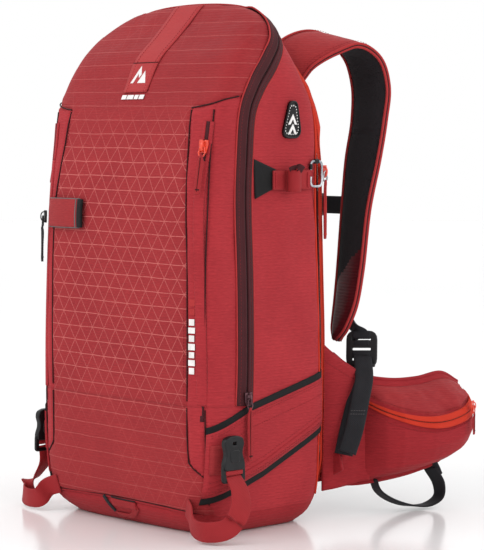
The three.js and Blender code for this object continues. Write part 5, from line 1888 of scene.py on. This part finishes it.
def build_hip_pocket():
    """The pocket on each wing: a full lower pouch under a wrinkled upper tier."""
    places = np.linspace(1.1, 4.95, 90)
    vs = np.linspace(0.04, 0.93, 60)
    outer, inner = [], []
    for p in places:
        middle, out, low, high = wing_at(p)
        for v in vs:
            z = low + (high - low) * v
            lift = pocket_lift(p, z, low, high)
            soft = soft_pocket_lift(p, z) * min(1.0, (lift - WING_HALF) / 8)
            outer.append(middle + out * (lift + soft) + [0, 0, z])
            inner.append(middle + out * (WING_HALF - 0.6) + [0, 0, z])
    m, n = len(places), len(vs)
    zones = []
    for f in grid_faces(m, n):
        z = np.mean([outer[i][2] for i in f])
        zones.append(int(z > zip_height(np.interp(f[0] // n, [0, m - 1], [1.1, 4.95])) + 8))
    faces = shell_faces(m, n)
    zones += [0] * (len(faces) - len(zones))
    verts = np.array(outer + inner) * MM
    right = outward(mesh_object("pocket_right", verts, faces, [BELT_CLOTH, STRAP_CLOTH], zones=zones))
    for piece in wear_pair(right, "pocket_left", "hip_{}", "shell", "hip_pocket_{}"):
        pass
    build_pocket_zip()


def build_pocket_zip():
    """The pocket's orange tape, teeth and stitches along a curved line, and its slider on the right."""
    spots = np.linspace(1.22, 4.86, 120)

    def lane_at(offset, extra):
        points, outs = [], []
        for p in spots:
            point, out = pocket_point(p, zip_height(p) + offset, extra)
            points.append(point)
            outs.append(out)
        return np.array(points), np.array(outs)

    pieces = []
    for k, (start, end) in enumerate(((0.5, 7.2), (-7.2, -0.5))):
        a, outs = lane_at(start, 0.9)
        b, _ = lane_at(end, 0.9)
        wide = np.interp(np.arange(len(a)), [0, 70, len(a)], [0.4, 1, 1.1])
        inner, outer = (a, b) if k == 0 else (b, a)
        rows = []
        for p, q, w, out in zip(inner, outer, wide, outs):
            rows.append([(p + (q - p) * s * w, out) for s in (0, 0.25, 0.5, 0.75, 1)])
        band = surface_patch(f"hip_zip_band_{k}", rows, -1.4, 0.9 if k else 1.3, ORANGE)
        pieces.append((band, "orange"))
    # The middle lane: a cord of painted shade down the zip between its two halves, and the teeth along it.
    dark, outs = lane_at(0, 1.3)
    pieces.append((tube("hip_zip_line", dark, 0.8, SEAM_SHADOW, 6), "orange"))
    teeth = row_of("hip_zip_teeth", dark, outs, (1.0, 1.7, 1.2), ORANGE_TEETH, 1.8)
    pieces.append((teeth, "orange"))
    for k, offset in enumerate((-10.5, 10.5)):
        line, outs = lane_at(offset, 0.3)
        pieces.append((row_of(f"hip_stitch_{k}", line, outs, (2.0, 0.5, 0.5), STITCH, 3.2), "shell"))
    for piece, slot_name in pieces:
        wear_pair(piece, piece.name + "_left", "hip_{}", slot_name)
    at, out_dir, scale = (202, 246, 116), (1, 0.4, 0), 0.8
    body = "hip_zip_right_slider"
    slider("hip_zip", at, (0, 0, 1), out_dir, body, "zippaint", body, PAINT, scale)
    body = "hip_zip_right_pull"
    pivot = outward_by(at, out_dir, PIVOT_HEIGHT * scale)
    pull("hip_pull", pivot, out_dir, body, "shell", body, (PAINT, RED_WEBBING, SEAM_SHADOW), 28, scale)


def build_belt_webbing():
    """The hanging loop under each wing with its tab, and the webbing that carries the buckle."""
    loop = [
        (158, 228, 44, 1, 0.2, 0.3, 16),
        (160, 240, 26, 1, 0.2, 0.2, 16),
        (160, 240, 12, 1, 0, 0, 16),
        (157, 226, 4, 1, 0, 0, 16),
        (152, 200, 5, 1, 0, 0.1, 16),
        (145, 176, 14, 1, -0.2, 0.2, 16),
        (141, 162, 25, 1, -0.3, 0.2, 16),
        (140, 156, 38, 1, -0.3, 0.2, 16),
    ]
    right = strap("belt_loop_right", loop, 2.0, BLACK_WEBBING, 80, wobble=0.5, seed=8)
    pair = wear_pair(right, "belt_loop_left", "hip_{}", "webbing", "belt_webbing_loop_{}")
    rows = [(157.5, 226, 52, 1, 0.2, 0.2, 19), (158.5, 231, 44, 1, 0.2, 0.3, 19)]
    rows += [(159.5, 236, 36, 1, 0.2, 0.3, 17)]
    tab = strap("belt_loop_tab_right", rows, 3.4, BLACK_WEBBING, 20)
    wear_pair(tab, "belt_loop_tab_left", "hip_{}", "webbing")
    places = ((152, 266, 106), (146, 270, 105), (140, 271, 104), (130, 268, 102))
    rows = [(x, y, z, 0, 0, 1, 30) for x, y, z in places]
    web = strap("belt_link_right", rows, 2.1, BLACK_WEBBING, 30)
    wear_pair(web, "belt_link_left", "hip_{}", "webbing", "belt_webbing_{}")
    build_hip_buckle()


def build_hip_buckle():
    """The two halves of the belt's side-release buckle, which lie open at the ends of the webbing."""
    outline = round_corners(box_outline(16, 36, 119, 101), 3)
    slot_hole = round_corners(box_outline(5, 26, 121, 101), 1)
    body = plate("hip_male_look", outline, 8, PLASTIC, [slot_hole], 1.4)
    prongs = [rounded_box("hip_prong", (26, 4, 6), (100, 0, z), PLASTIC, 1.2) for z in (111, 91)]
    male = join("hip_male_look", [body, *prongs])
    male.data.transform(Matrix.Translation((0, 0.265, 0)))
    wear(male, "hip_right", "plastic", "hip_buckle_male")
    outline = round_corners([(-127, 81), (-83, 83), (-83, 119), (-127, 121)], 5)
    female = plate("hip_female_look", outline, 2.5, PLASTIC, (), 0.9)
    lid = female.copy()
    lid.data = female.data.copy()
    bpy.context.scene.collection.objects.link(lid)
    female.data.transform(Matrix.Translation((0, 0.2602, 0)))
    lid.data.transform(Matrix.Translation((0, 0.2698, 0)))
    walls = [rounded_box("hip_female_wall", (42, 8, 5), (-105, 265, z), PLASTIC, 0.8) for z in (84, 118)]
    back = rounded_box("hip_female_back", (9, 9, 34), (-121.5, 265, 101), PLASTIC, 0.8)
    full = join("hip_female_look", [female, lid, *walls, back])
    wear(full, "hip_left", "plastic", "hip_buckle_female")


def build_stabilisers():
    """The cloth panel that closes the gap between the foot of the back panel and each wing's root."""
    spots = [(126, 91), (131, 100), (134, 112), (136, 124), (138.5, 138), (143, 147)]
    run = curve_through([(x, y, 0) for x, y in spots], 26)
    along = unit_rows(np.gradient(run, axis=0))
    rows = []
    for v in np.linspace(0, 1, 34):
        row = []
        for i, (p, d) in enumerate(zip(run, along)):
            share = i / (len(run) - 1)
            top, foot = 188 - 40 * share ** 0.8, 30 + 8 * share
            z = foot + (top - foot) * v
            fold = z - 36 - 75 * share
            crease = math.exp(-((fold / 6) ** 2)) - 0.7 * math.exp(-(((fold + 12) / 5) ** 2))
            puff = 2.4 * math.sin(math.pi * share) * math.sin(math.pi * v)
            wrinkle = 1.3 * noise.noise(Vector((share * 2.5, z * 0.03, 2.0)))
            n = np.array([d[1], -d[0], 0])
            lift = puff + (wrinkle + 1.6 * crease) * math.sin(math.pi * share)
            row.append((p + n * lift + [0, 0, z], n))
        rows.append(row)
    panel = surface_patch("stabiliser_right", rows, -1.4, 1.4, BELT_CLOTH)
    edge = tube("stabiliser_edge", [p - n * 1.4 for p, n in rows[-1]], 2.1, BELT_CLOTH, 8)
    line, normals = [p + n * 1.4 for p, n in rows[-4]], [n for _, n in rows[-4]]
    stitches = row_of("stabiliser_stitch", line, normals, (2.2, 0.6, 0.5), STITCH, 3.3)
    right = join("stabiliser_right", [panel, edge, stitches])
    left = mirrored(right, "stabiliser_left")
    for piece, side, sign in ((right, "right", 1), (left, "left", -1)):
        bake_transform(piece)


def build_cable():
    """The release cable's sleeve down the outside of the left strap."""
    run, _, face = strap_frames(130)
    points = (run[:, :3] - face * 12.0)[6:62] * [-1, 1, 1]
    sleeve = tube("cable_sleeve", points, 2.5, BLACK_CLOTH, 10)
    wear(sleeve, "back_panel", "webbing", "trigger_cable")


def dress_cad_nodes():
    """The CAD parts that stay: the stiffener sheet, the pocket divider and the inflator head."""
    for name, material, slot_name in (
        ("frame_sheet", PLASTIC, "plastic"),
        ("tool_pocket_divider", LINING, "lining"),
        ("inflator_head", PLASTIC, "plastic"),
    ):
        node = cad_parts[name]
        node.data.materials.clear()
        node.data.materials.append(material)


make_camera()
make_studio()
build_bag()
build_main_zip()
build_front_zips()
build_seams()
build_crest()
build_side_patches()
build_bands()
build_boot()
build_axe_loop()
build_axe_flap()
build_compression()
build_ski_loops()
build_back_panel()
build_shoulder_straps()
build_ladder_locks()
build_sternum()
build_airbag()
build_cable()
build_hip_belt()
build_stabilisers()
dress_cad_nodes()
